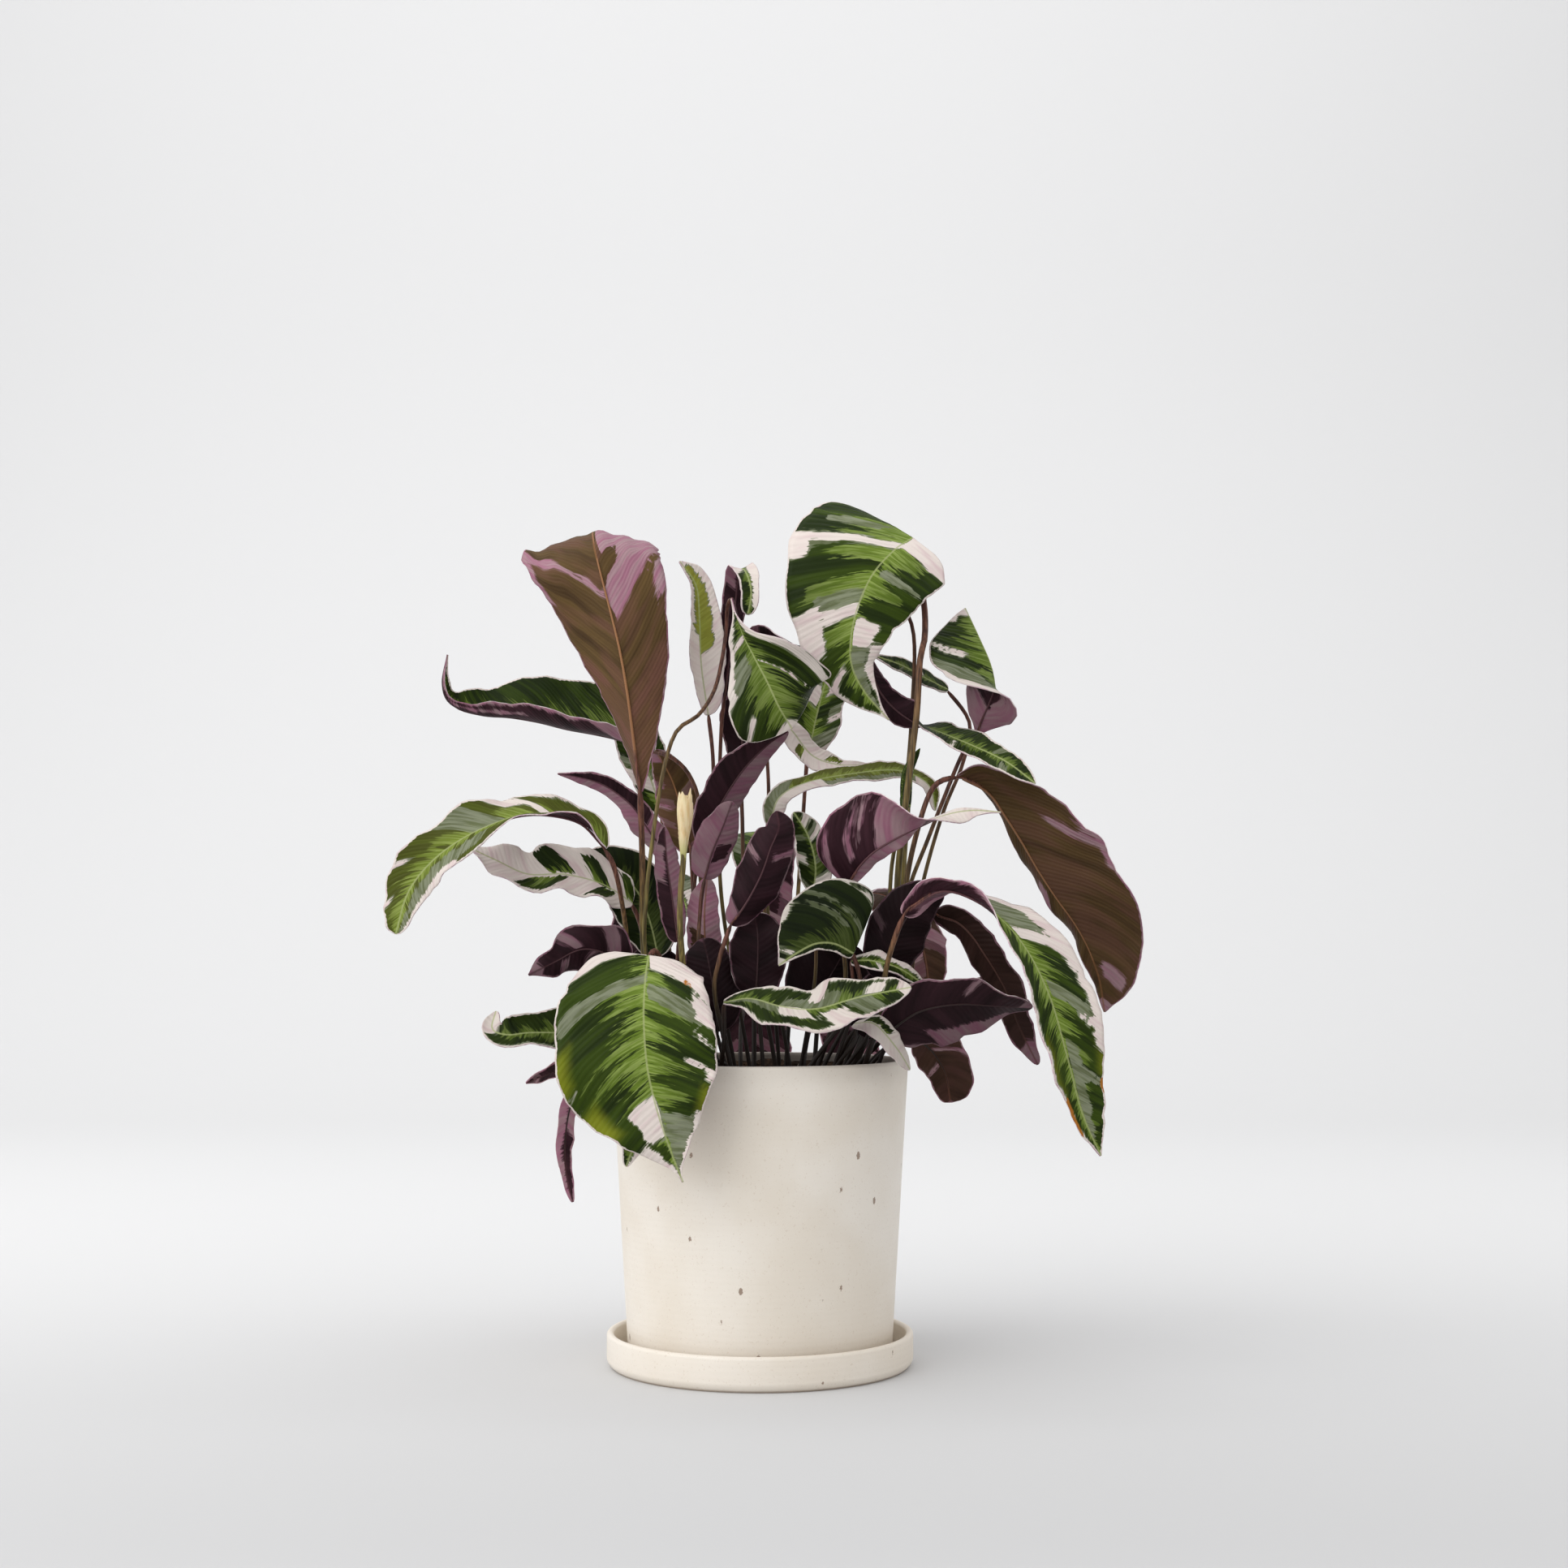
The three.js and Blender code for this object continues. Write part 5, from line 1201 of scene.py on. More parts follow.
         face=((0.1, 0.6, 0.8), (0.4, 0.8, 0.4), (0.5, 0.8, 0.2), (0.3, 0.9, 0.1)),
         left=(11, 20, 20, 30), right=(41, 2, 2, -12),
         wave=(2, 4, 0.1), shape=(0.75, 0.9, 2.2),
         look=(0.12, 0.3, 0.95), painted_shade=0.38, lean=(0.9, 0.01),
         marks=((1, -1, 0, 0, 0.6, "white"), (1, 0.165, 0.205, 0.55, 1, "white"),
                (1, 0.1, 0.3, 0.93, 1, "white"), (1, 0.8, 0.86, 0.15, 0.7, "white"),
                (-1, 0.45, 0.52, 0.4, 1, "white"), (0, 0.95, 1.2, 0, 1, "white"))),
    Leaf("leaf_mid_right_purple", root=(30, -22), radius=1.4,
         stem=((45, -24, 200), (43, -26, 234)),
         rib=((46, -28, 255), (56, -32, 269), (69, -36, 278), (83, -38, 285), (96, -40, 291),
               (111, -41, 294), (127, -42, 293)),
         face=((-0.3, 0.9, 0.1), (-0.3, 0.9, 0.1), (-0.2, 0.9, 0.2), (0, -0.1, 1),
               (0.1, -0.8, 0.6), (0.1, -0.8, 0.6)),
         left=(6, 10, 10, 10), right=(29, 0, 0, 10),
         wave=(1.8, 3, 0.3), shape=(0.6, 1.7, 1),
         look=(0.74, 0.5, 0), painted_shade=0.12, lean=(0.35, 0.01),
         marks=((1, -0.3, -0.27, 0, 1, "white"), (1, -0.16, -0.12, 0.1, 1, "white"),
                (1, -0.03, 0, 0, 1, "white"), (1, 0.1, 0.125, 0.2, 1, "white"),
                (1, 0.17, 0.19, 0.3, 1, "white"), (1, 0.27, 0.55, 0, 1, "white"),
                (0, 0.58, 1.4, 0, 1, "white"), (-1, -0.5, 2, 0, 1, "white"))),
    Leaf("leaf_centre_purple", root=(-14, -48), radius=1.3,
         stem=((-23, -50, 196), (-21, -52, 215)),
         rib=((-15, -52, 234), (-7, -54, 245), (1, -56, 260), (6, -58, 274), (10, -58, 284),
               (9, -54, 293)),
         face=((-0.2, 0.95, 0.2), (-0.2, 0.95, 0.1), (-0.1, 0.9, -0.2)),
         left=(14, 10, 10, 20), right=(13, 16, 16, 40),
         wave=(1.6, 3, 0.2), shape=(0.6, 0.55, 1),
         look=(0.36, 0.35, 0), painted_shade=0.5,
         marks=((1, -1, 0.1, 0, 1, "white"), (-1, 0.55, 0.62, 0.2, 1, "white"),
                (1, 0.5, 0.55, 0.3, 1, "white"))),
    Leaf("leaf_small_behind", root=(22, 10), radius=1.1,
         stem=((30, 8, 208),),
         rib=((29, 6, 252), (30, 4, 267), (26, 4, 283), (18, 2, 296)),
         face=((0, -1, 0.2), (0, -1, 0.2)),
         left=(9, 5, 5, 5), right=(9, 5, 5, 5),
         wave=(1, 2, 0), shape=(0.5, 0.6, 1),
         look=(0.98, 0.3, 0), painted_shade=0.7),
    Leaf("leaf_centre_dark_face", root=(24, -46), radius=1.3,
         stem=((51, -47, 196),),
         rib=((49, -50, 219), (39, -54, 224), (29, -58, 224), (19, -62, 219), (10, -64, 213)),
         face=((0, -1, 0.15), (0, -1, 0.15), (0, -1, 0.1), (0, -1, 0)),
         left=(3, 0, 0, 0), right=(34, 4, 4, -10),
         wave=(1.2, 3, 0.4), shape=(0.3, 1, 1),
         look=(0.6, 0.3, 0), painted_shade=0.85, lean=(0.7, 0.012),
         marks=((1, -0.02, 0.06, 0.3, 1, "sage"), (1, 0, 0.35, 0.88, 1, "white"),
                (1, -0.2, -0.13, 0, 1, "sage"), (1, -0.62, -0.52, 0.5, 1, "white"),
                (1, 0.1, 0.6, 0.25, 1, "dark"), (1, 0.75, 0.8, 0.1, 1, "white"),
                (1, 0.9, 1.2, 0, 1, "white"))),
    Leaf("leaf_centre_low", root=(-20, -58), radius=1.3,
         stem=((-18, -64, 175),),
         rib=((-18, -68, 194), (-4, -74, 196), (12, -78, 192), (29, -82, 191), (51, -84, 197),
               (77, -84, 202)),
         face=((-0.2, -0.7, 0.7), (0, -0.7, 0.7), (0, -0.75, 0.65)),
         left=(12, 8, 8, 10), right=(17, 6, 6, 5),
         wave=(1.6, 3, 0), shape=(0.9, 0.7, 1),
         look=(0.21, 0.3, 0), painted_shade=0.45,
         marks=((-1, 0.3, 0.62, 0, 0.55, "sage"), (-1, 0.42, 0.52, 0.3, 1, "white"),
                (-1, 0.75, 0.85, 0, 0.6, "white"), (1, -1, 0.3, 0, 0.3, "sage"),
                (1, 0.3, 0.45, 0, 0.45, "white"), (1, 0.5, 0.62, 0.2, 1, "white"),
                (1, 0.66, 0.8, 0, 0.8, "sage"), (0, -1, 2, 0.9, 1, "white"),
                (0, 0.93, 1.2, 0, 1, "white"))),
    Leaf("leaf_small_white_green", root=(38, -40), radius=1.1,
         stem=((49, -42, 191),),
         rib=((48, -44, 215), (59, -46, 215), (73, -46, 211), (87, -44, 202)),
         face=((0, -0.7, 0.7), (0, -0.7, 0.7)),
         left=(6, 0, 0, 0), right=(5, 0, 0, 0),
         wave=(0.8, 2, 0.2), shape=(0.45, 0.7, 1),
         look=(0.83, 0.6, 0), painted_shade=0.3,
         marks=((-1, -1, 2, 0.45, 1, "white"), (1, 0.3, 0.36, 0.1, 1, "white"),
                (0, 0.9, 1.3, 0, 1, "white"))),
    Leaf("leaf_low_right_dark", root=(50, -26), radius=1.3,
         stem=((61, -34, 170),),
         rib=((66, -52, 178), (82, -56, 189), (102, -58, 193), (123, -58, 192), (141, -56, 191)),
         face=((0, 0.8, 0.6), (0, 0.8, 0.6), (0, 0.3, 0.9)),
         left=(25, 4, 4, -10), right=(15, 8, 8, 10),
         wave=(1.5, 3, 0.3), shape=(0.45, 0.7, 1),
         look=(0.45, 0.15, 0), painted_shade=0.62,
         marks=((-1, 0.1, 0.8, 0.6, 1, "white"), (-1, -0.2, -0.05, 0.1, 1, "white"),
                (1, 0.5, 0.54, 0.4, 1, "white"), (1, 0.9, 1.2, 0, 1, "white"))),
    Leaf("leaf_right_low_back", root=(58, 4), radius=1.2,
         stem=((85, 6, 181),),
         rib=((94, 2, 192), (111, -2, 196), (129, -4, 197), (147, -6, 190)),
         face=((0, 0.8, 0.6), (0, 0.8, 0.6)),
         left=(8, 5, 5, 5), right=(8, 5, 5, 5),
         wave=(1, 2, 0.2), shape=(0.5, 0.7, 1),
         look=(0.07, 0.2, 0), painted_shade=0.6),
    Leaf("leaf_hanging_dark", root=(62, -16), radius=1.2,
         stem=((79, -18, 199), (84, -18, 230)),
         rib=((93, -20, 240), (108, -22, 234), (120, -24, 218), (131, -24, 199), (138, -22, 180),
               (148, -20, 160)),
         face=((0.3, 0.8, 0.6), (0.5, 0.8, 0.2), (0.4, 0.8, 0)),
         left=(10, 5, 5, 5), right=(9, 5, 5, 5),
         wave=(1.2, 4, 0.1), shape=(0.45, 0.6, 1),
         look=(0.69, 0.2, 0.3), painted_shade=0.65,
         marks=((0, 0.86, 1.3, 0, 1, "white"),)),
    Leaf("leaf_right_droop", root=(54, -40), radius=1.5, fine=True,
         stem=((63, -50, 187), (66, -58, 213)),
         rib=((74, -64, 239), (89, -68, 251), (110, -74, 247), (132, -80, 226), (146, -84, 199),
               (155, -84, 168), (163, -80, 139), (173, -74, 117)),
         face=((-0.3, 0.7, 0.6), (0, -0.4, 0.9), (0.1, -0.9, 0.4), (0, -1, 0.1)),
         left=(23, 4, 4, 0), right=(14, 14, 14, 30),
         wave=(2, 4, 0.3), shape=(0.5, 1, 2.6),
         look=(0.3, 0.45, 0), lean=(0.9, 0.012),
         marks=((-1, 0.02, 0.33, 0, 0.72, "sage"), (-1, -0.1, 0.4, 0.72, 1, "white"),
                (-1, 0.33, 0.37, 0, 1, "white"), (-1, 0.4, 0.62, 0.8, 1, "white"),
                (-1, 0.5, 0.545, 0, 0.8, "sage"), (-1, 0.545, 0.57, 0.5, 1, "white"),
                (-1, 0.72, 0.75, 0.1, 1, "sage"), (-1, 0.66, 0.95, 0, 0.35, "sage"),
                (1, -1, 2, 0.88, 1, "white"), (1, 0.78, 0.9, 0.7, 1, "brown"),
                (1, 0.6, 0.78, 0.7, 1, "yellow"), (-1, 0.7, 0.76, 0.9, 1, "brown"),
                (-1, 0.58, 0.7, 0.85, 1, "yellow"))),
    Leaf("leaf_back_low_right", root=(44, 42), radius=1.2,
         stem=((56, 60, 175), (69, 76, 180)),
         rib=((90, 84, 169), (99, 90, 162), (107, 94, 149), (110, 94, 132)),
         face=((0.1, 0.9, 0.3), (0.2, 1, 0.1)),
         left=(12, 5, 5, 10), right=(17, 5, 5, 10),
         wave=(1, 3, 0.2), shape=(0.4, 0.4, 1),
         look=(0.92, 0.3, 0.4), painted_shade=0.25,
         marks=((1, 0.25, 0.28, 0.1, 1, "white"), (-1, 0.45, 0.48, 0.1, 1, "white"),
                (0, 0.97, 1.3, 0, 1, "white"))),
    Leaf("leaf_lilac_low", root=(38, -52), radius=1.1,
         stem=((49, -58, 174),),
         rib=((49, -62, 183), (59, -70, 183), (70, -66, 171), (78, -50, 159)),
         face=((0, -0.6, 0.8), (0.3, -0.9, 0.3)),
         left=(6, 0, 0, 0), right=(6, 0, 0, 0),
         wave=(0.6, 2, 0.2), shape=(0.4, 0.7, 1),
         look=(0.54, 0.85, 0), painted_shade=0.5,
         marks=((0, -1, 2, 0, 1, "white"), (-1, 0.1, 0.4, 0.1, 0.7, "green"))),
    Leaf("leaf_low_green_edge", root=(58, 22), radius=1.1,
         stem=((75, 24, 172),),
         rib=((80, 28, 180), (92, 34, 178), (102, 38, 167)),
         face=((0, 0.5, 0.9), (0.2, 0.6, 0.8)),
         left=(7, 0, 0, 0), right=(7, 0, 0, 0),
         wave=(0.8, 2, 0.2), shape=(0.5, 0.7, 1),
         look=(0.16, 0.2, 0), painted_shade=0.7),
    Leaf("leaf_front_broad", root=(-34, -52), radius=1.6, fine=True,
         stem=((-39, -58, 171), (-49, -62, 209), (-53, -66, 220)),
         rib=((-56, -74, 218), (-57, -86, 207), (-57, -98, 187), (-55, -104, 165),
               (-51, -106, 147), (-45, -106, 128), (-37, -104, 107)),
         face=((0, -0.5, 0.85), (0, -0.9, 0.4), (0, -1, 0.1), (0, -1, 0)),
         left=(35, 2, 2, -8), right=(44, 4, 4, -6),
         wave=(2.4, 4, 0.2), shape=(0.25, 2.2, 4.5),
         look=(0.78, 0.4, 0), lean=(0.4, 0.006, 0.35, 0.011),
         marks=((1, -1, -0.03, 0, 1, "white"), (1, 0.108, 0.165, 0, 0.95, "sage"),
                (1, 0.37, 0.385, 0.85, 1, "white"), (1, 0.45, 0.465, 0.8, 1, "sage"),
                (1, 0.63, 0.8, 0, 0.42, "white"), (1, 0.78, 1.2, 0.55, 1, "white"),
                (1, 0.22, 0.36, 0.86, 1, "yellow"), (1, 0.48, 0.66, 0.72, 1, "yellow"),
                (-1, -1, 0.075, 0, 1, "white"), (-1, -1, -0.2, 0.5, 1, "green"),
                (-1, 0.15, 0.235, 0, 0.8, "sage"), (-1, 0.08, 0.2, 0.75, 1, "white"),
                (-1, 0.045, 0.075, 0.66, 0.78, "brown"), (-1, 0.27, 0.285, 0.7, 1, "white"),
                (-1, 0.41, 0.44, 0.55, 1, "white"), (-1, 0.42, 0.49, 0.85, 1, "white"),
                (-1, 0.52, 0.66, 0.85, 1, "yellow"), (-1, 0.7, 0.93, 0.05, 0.85, "sage"),
                (-1, 0.66, 1.2, 0.85, 1, "white"))),
    Leaf("leaf_small_tip", root=(-44, -44), radius=1.1,
         stem=((-51, -54, 171), (-56, -74, 172)),
         rib=((-59, -84, 161), (-60, -88, 144), (-61, -88, 128), (-66, -88, 113)),
         face=((0, -0.9, 0.4), (0, -1, 0)),
         left=(6, 0, 0, 0), right=(7, 0, 0, 0),
         wave=(0.8, 2, 0.2), shape=(0.45, 0.6, 1),
         look=(0.39, 0.4, 0),
         marks=((-1, -1, 2, 0.4, 1, "white"), (1, 0.5, 0.6, 0.2, 1, "sage"))),
    Leaf("leaf_left_low", root=(-60, -22), radius=1.2,
         stem=((-69, -24, 165),),
         rib=((-82, -34, 172), (-100, -44, 177), (-118, -52, 178), (-130, -56, 177),
               (-138, -54, 180), (-137, -48, 189)),
         face=((0, -0.7, 0.7), (0, -0.8, 0.6), (-0.2, -0.8, 0.6)),
         left=(11, 5, 5, 20), right=(12, 10, 10, 20),
         wave=(1.2, 3, 0.2), shape=(0.45, 0.75, 1),
         look=(0.01, 0.4, 0), painted_shade=0.5,
         marks=((-1, -1, 2, 0.75, 1, "sage"), (0, 0.8, 1.3, 0, 1, "white"))),
    Leaf("leaf_left_low_tip", root=(-62, 12), radius=1.1,
         stem=((-71, 12, 171),),
         rib=((-87, 4, 164), (-103, -6, 159), (-115, -12, 154), (-125, -16, 150)),
         face=((0, 0.7, 0.7), (0, 0.7, 0.7)),
         left=(5, 5, 5, 5), right=(6, 5, 5, 5),
         wave=(0.8, 3, 0.2), shape=(0.45, 0.7, 1),
         look=(0.63, 0.3, 0)),
    Leaf("leaf_left_hanging", root=(-64, -4), radius=1.1,
         stem=((-72, -12, 169),),
         rib=((-84, -26, 167), (-94, -34, 153), (-100, -36, 136), (-102, -36, 117),
               (-101, -34, 102), (-98, -32, 89)),
         face=((-0.3, 0.6, 0.8), (-0.3, 0.9, 0), (-0.3, 0.9, 0)),
         left=(3.5, 0, 0, 10), right=(4, 0, 0, 10),
         wave=(1.4, 4, 0.2), shape=(0.45, 0.6, 1),
         look=(0.25, 0.3, 0),
         marks=((-1, -1, 2, 0.2, 1, "white"), (1, 0.3, 0.55, 0, 1, "white"))),
    Leaf("leaf_left_mid_folded", root=(-56, -30), radius=1.2,
         stem=((-63, -34, 191),),
         rib=((-70, -46, 212), (-82, -54, 220), (-93, -58, 221), (-105, -60, 215),
               (-119, -60, 208)),
         face=((0, 0.8, 0.5), (0, 0.85, 0.4), (0, 0.8, 0.5)),
         left=(14, 10, 10, 20), right=(14, 6, 6, 10),
         wave=(3, 3, 0.2), shape=(0.45, 1, 1),
         look=(0.87, 0.6, 0), painted_shade=0.6,
         marks=((-1, 0.1, 0.2, 0.1, 1, "white"), (1, 0.3, 0.36, 0, 1, "white"),
                (-1, 0.45, 0.52, 0, 1, "white"), (1, 0.6, 0.66, 0.2, 1, "white"),
                (0, 0.85, 1.3, 0, 1, "white"))),
    Leaf("leaf_lilac_vertical", root=(-32, -20), radius=1.1,
         stem=((-43, -20, 199),),
         rib=((-44, -20, 225), (-47, -18, 247), (-50, -16, 267), (-52, -12, 287)),
         face=((-0.3, 0.9, 0.1), (-0.3, 0.9, 0)),
         left=(7, 10, 10, 10), right=(7, 10, 10, 10),
         wave=(0.8, 2, 0.2), shape=(0.5, 0.6, 1),
         look=(0.48, 0.85, 0), painted_shade=0.35,
         marks=((-1, -1, 2, 0, 1, "white"), (1, 0.5, 0.8, 0.3, 1, "white"))),
    Leaf("leaf_brown_behind", root=(-30, 38), radius=1.2,
         stem=((-37, 44, 230),),
         rib=((-40, 48, 276), (-45, 52, 297), (-51, 54, 317), (-61, 56, 335)),
         face=((-0.1, 1, 0.1), (-0.1, 1, 0.1)),
         left=(12, 6, 6, 10), right=(12, 6, 6, 10),
         wave=(1, 2, 0.2), shape=(0.5, 0.6, 1),
         look=(0.1, 0.15, 1)),
    Leaf("leaf_pale_under", root=(-26, -2), radius=1.1,
         stem=((-27, -4, 190),),
         rib=((-28, -8, 212), (-30, -10, 230), (-30, -8, 245), (-29, -2, 260)),
         face=((-0.1, 1, 0), (-0.1, 1, 0.1)),
         left=(8, 6, 6, 10), right=(8, 6, 6, 10),
         wave=(0.8, 2, 0.2), shape=(0.5, 0.5, 1),
         look=(0.72, 0.7, 0.6),
         marks=((0, -1, 2, 0, 1, "white"), (1, 0.1, 0.35, 0, 0.8, "green"))),
    Leaf("leaf_inner_round", root=(2, -40), radius=1.2,
         stem=((0, -40, 183),),
         rib=((-2, -40, 197), (-1, -42, 214), (-1, -42, 229), (-3, -38, 240)),
         face=((0, 1, 0.1), (0, 1, 0.1)),
         left=(14, 6, 6, -20), right=(14, 6, 6, -20),
         wave=(1.6, 3, 0.2), shape=(0.4, 0.45, 1),
         look=(0.34, 0.2, 0), painted_shade=0.85,
         marks=((0, 0.97, 1.3, 0, 1, "white"),)),
    Leaf("leaf_back_left", root=(-36, 44), radius=1.4,
         stem=((-38, 54, 200),),
         rib=((-40, 64, 240), (-56, 92, 262), (-70, 122, 256), (-80, 152, 226), (-84, 170, 186)),
         face=((-0.3, 0.4, 0.9), (-0.4, 0.8, 0.4), (-0.4, 0.9, 0.1)),
         left=(17, 4, 4, -8), right=(17, 4, 4, -8),
         wave=(1.8, 3, 0.2), shape=(0.45, 0.6, 1),
         look=(0.96, 0.35, 0)),
    Leaf("leaf_back_middle", root=(-4, 44), radius=1.4,
         stem=((-4, 56, 210),),
         rib=((-4, 68, 262), (-2, 92, 288), (0, 122, 286), (2, 152, 256), (4, 170, 214)),
         face=((0, 0.3, 0.9), (0, 0.8, 0.5), (0, 0.95, 0.1)),
         left=(18, 4, 4, -8), right=(18, 4, 4, -8),
         wave=(1.8, 3, 0.5), shape=(0.45, 0.6, 1),
         look=(0.57, 0.45, 0)),
    Leaf("leaf_back_right", root=(30, 46), radius=1.4,
         stem=((34, 58, 200),),
         rib=((40, 70, 232), (60, 96, 254), (82, 124, 248), (98, 150, 222), (104, 166, 184)),
         face=((0.3, 0.4, 0.9), (0.4, 0.8, 0.4), (0.4, 0.9, 0.1)),
         left=(17, 4, 4, -8), right=(17, 4, 4, -8),
         wave=(1.8, 3, 0.8), shape=(0.45, 0.6, 1),
         look=(0.19, 0.3, 0.5)),
    Leaf("leaf_back_hang_left", root=(-50, 34), radius=1.3,
         stem=((-52, 58, 172),),
         rib=((-54, 84, 184), (-60, 104, 180), (-66, 118, 156), (-70, 124, 116)),
         face=((-0.2, 0.5, 0.8), (-0.2, 1, 0.1)),
         left=(17, 2, 2, -6), right=(17, 2, 2, -6),
         wave=(1.5, 3, 0.1), shape=(0.45, 0.6, 1),
         look=(0.81, 0.4, 0)),
    Leaf("leaf_back_hang_middle", root=(-12, 60), radius=1.3,
         stem=((-12, 74, 176),),
         rib=((-10, 92, 190), (-6, 112, 186), (-4, 126, 160), (0, 132, 118)),
         face=((0, 0.5, 0.8), (0, 1, 0.1)),
         left=(20, 2, 2, -6), right=(20, 2, 2, -6),
         wave=(1.5, 3, 0.4), shape=(0.45, 0.6, 1),
         look=(0.43, 0.3, 0)),
    Leaf("leaf_back_hang_right", root=(24, 58), radius=1.3,
         stem=((28, 74, 176),),
         rib=((36, 92, 188), (46, 110, 182), (54, 122, 156), (60, 128, 116)),
         face=((0.2, 0.5, 0.8), (0.2, 1, 0.1)),
         left=(17, 2, 2, -6), right=(17, 2, 2, -6),
         wave=(1.5, 3, 0.7), shape=(0.45, 0.6, 1),
         look=(0.05, 0.45, 0)),
    Leaf("leaf_back_upright_left", root=(-46, 48), radius=1.3,
         stem=((-54, 54, 240),),
         rib=((-58, 74, 300), (-72, 84, 340), (-84, 90, 372), (-92, 90, 398)),
         face=((0.1, -0.9, 0.3), (0.1, -0.9, 0.3)),
         left=(13, 6, 6, 6), right=(13, 6, 6, 6),
         wave=(1.4, 3, 0.3), shape=(0.5, 0.6, 1),
         look=(0.66, 0.35, 0)),
    Leaf("leaf_back_upright_right", root=(14, 58), radius=1.3,
         stem=((20, 70, 240),),
         rib=((26, 82, 330), (34, 88, 366), (44, 88, 400), (54, 80, 430)),
         face=((-0.1, -0.95, 0.2), (-0.1, -0.95, 0.2)),
         left=(15, 6, 6, 6), right=(15, 6, 6, 6),
         wave=(1.4, 3, 0.6), shape=(0.5, 0.6, 1),
         look=(0.28, 0.4, 0)),
    Leaf("leaf_inner_left", root=(-14, -26), radius=1.1,
         stem=((-24, -30, 165),),
         rib=((-22, -34, 178), (-24, -38, 198), (-27, -38, 215), (-30, -34, 227)),
         face=((0, 1, 0.1), (0, 1, 0.1)),
         left=(15, 6, 6, 10), right=(15, 6, 6, 10),
         wave=(1.2, 3, 0.2), shape=(0.45, 0.5, 1),
         look=(0.9, 0.2, 0), painted_shade=0.9,
         marks=((0, 0.97, 1.3, 0, 1, "white"),)),
    Leaf("leaf_inner_right", root=(40, -22), radius=1.1,
         stem=((45, -26, 170),),
         rib=((50, -28, 179), (60, -28, 188), (70, -27, 197), (79, -25, 204)),
         face=((0, 0.9, 0.3), (0, 0.9, 0.3)),
         left=(17, 6, 6, 10), right=(17, 6, 6, 10),
         wave=(1.2, 3, 0.2), shape=(0.45, 0.6, 1),
         look=(0.52, 0.2, 0), painted_shade=0.9,
         marks=((-1, 0.4, 0.46, 0.2, 1, "white"),)),
    Leaf("leaf_inner_back", root=(22, 36), radius=1.1,
         stem=((25, 36, 167),),
         rib=((27, 36, 179), (33, 36, 196), (42, 34, 212), (49, 30, 225)),
         face=((0, 1, 0.1), (0, 1, 0.1)),
         left=(22, 6, 6, 10), right=(22, 6, 6, 10),
         wave=(1.2, 3, 0.2), shape=(0.45, 0.42, 1),
         look=(0.14, 0.15, 0), painted_shade=1,
         marks=((0, 0.98, 1.3, 0, 1, "white"),)),
    Leaf("leaf_inner_back_left", root=(-42, 30), radius=1.1,
         stem=((-46, 32, 167),),
         rib=((-49, 32, 180), (-54, 32, 196), (-60, 30, 212), (-62, 26, 223)),
         face=((0, 1, 0.1), (0, 1, 0.1)),
         left=(17, 6, 6, 10), right=(17, 6, 6, 10),
         wave=(1.2, 3, 0.2), shape=(0.45, 0.5, 1),
         look=(0.75, 0.2, 0), painted_shade=1,
         marks=((1, 0.4, 0.45, 0.2, 1, "white"),)),
    Leaf("leaf_right_dark_base", root=(44, -32), radius=1.2,
         stem=((58, -34, 178),),
         rib=((64, -33, 205), (71, -35, 225), (81, -35, 242), (97, -33, 252)),
         face=((-0.1, 1, 0.1), (-0.1, 1, 0.1)),
         left=(15, 4, 4, 5), right=(16, 4, 4, 5),
         wave=(1.4, 3, 0.2), shape=(0.5, 0.6, 1),
         look=(0.37, 0.12, 0), painted_shade=1,
         marks=((1, 0.3, 0.36, 0.5, 1, "white"), (0, 0.95, 1.3, 0, 1, "white"))),
]

print(len(LEAVES), "leaves, the longest", round(max(leaf.curve.length for leaf in LEAVES)), "mm")

# %% [markdown]
# Now each leaf is grown from its row. The large ones in front get a finer grid than the rest. Each
# piece rides on the plant's one body and takes the place of its imported solid.

# %% Growing the leaves
FINE_GRID = (26, 64)
PLAIN_GRID = (18, 40)


def grow(leaf):
    columns, rows = FINE_GRID if leaf.fine else PLAIN_GRID
    piece = add_piece(leaf.name + "_fine", leaf_mesh(leaf, columns, rows), LEAF_FINISHES)
    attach(piece, BODY)
    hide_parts(leaf.name)
    dark = "dark" in leaf.name or "purple" in leaf.name
    return len(piece.data.polygons)


faces_made = sum(grow(leaf) for leaf in LEAVES)
print(len(LEAVES), "leaves grown,", faces_made, "faces")

# %% [markdown]
# The flower bud and the newest leaf, which is still rolled up, are closed bodies on stalks of
# their own. Both are tubes with a swelling radius. The bud's bracts overlap in three soft folds
# and end as a shallow cup with a ragged lip: its tube turns back inside itself near the top. The
# rolled leaf shows its outer edge as a step that winds up the roll.

# %% Bodies that swell
SPINDLE_TIP = 0.3
SPINDLE_FOOT = 0.35
SPINDLE_SWELL = 0.65
SPINDLE_ROUNDING = 0.8
SPINDLE_CLOSING = 9
LIP_REACH = 0.16
LIP_RISE = 7.0
LIP_WAVES = 0.4


def spindle_girth(share, radius, fullest):
    """Slim at the foot, thickest at the share called fullest, rounded off at the tip."""
    bias = math.log(0.5) / math.log(fullest)
    swell = max(0.0, math.sin(math.pi * share ** bias)) ** SPINDLE_ROUNDING
    girth = radius * (SPINDLE_FOOT + SPINDLE_SWELL * swell)
    closing = min(1.0, ((1 - share) * SPINDLE_CLOSING) ** 0.5)
    return max(SPINDLE_TIP, girth * closing)


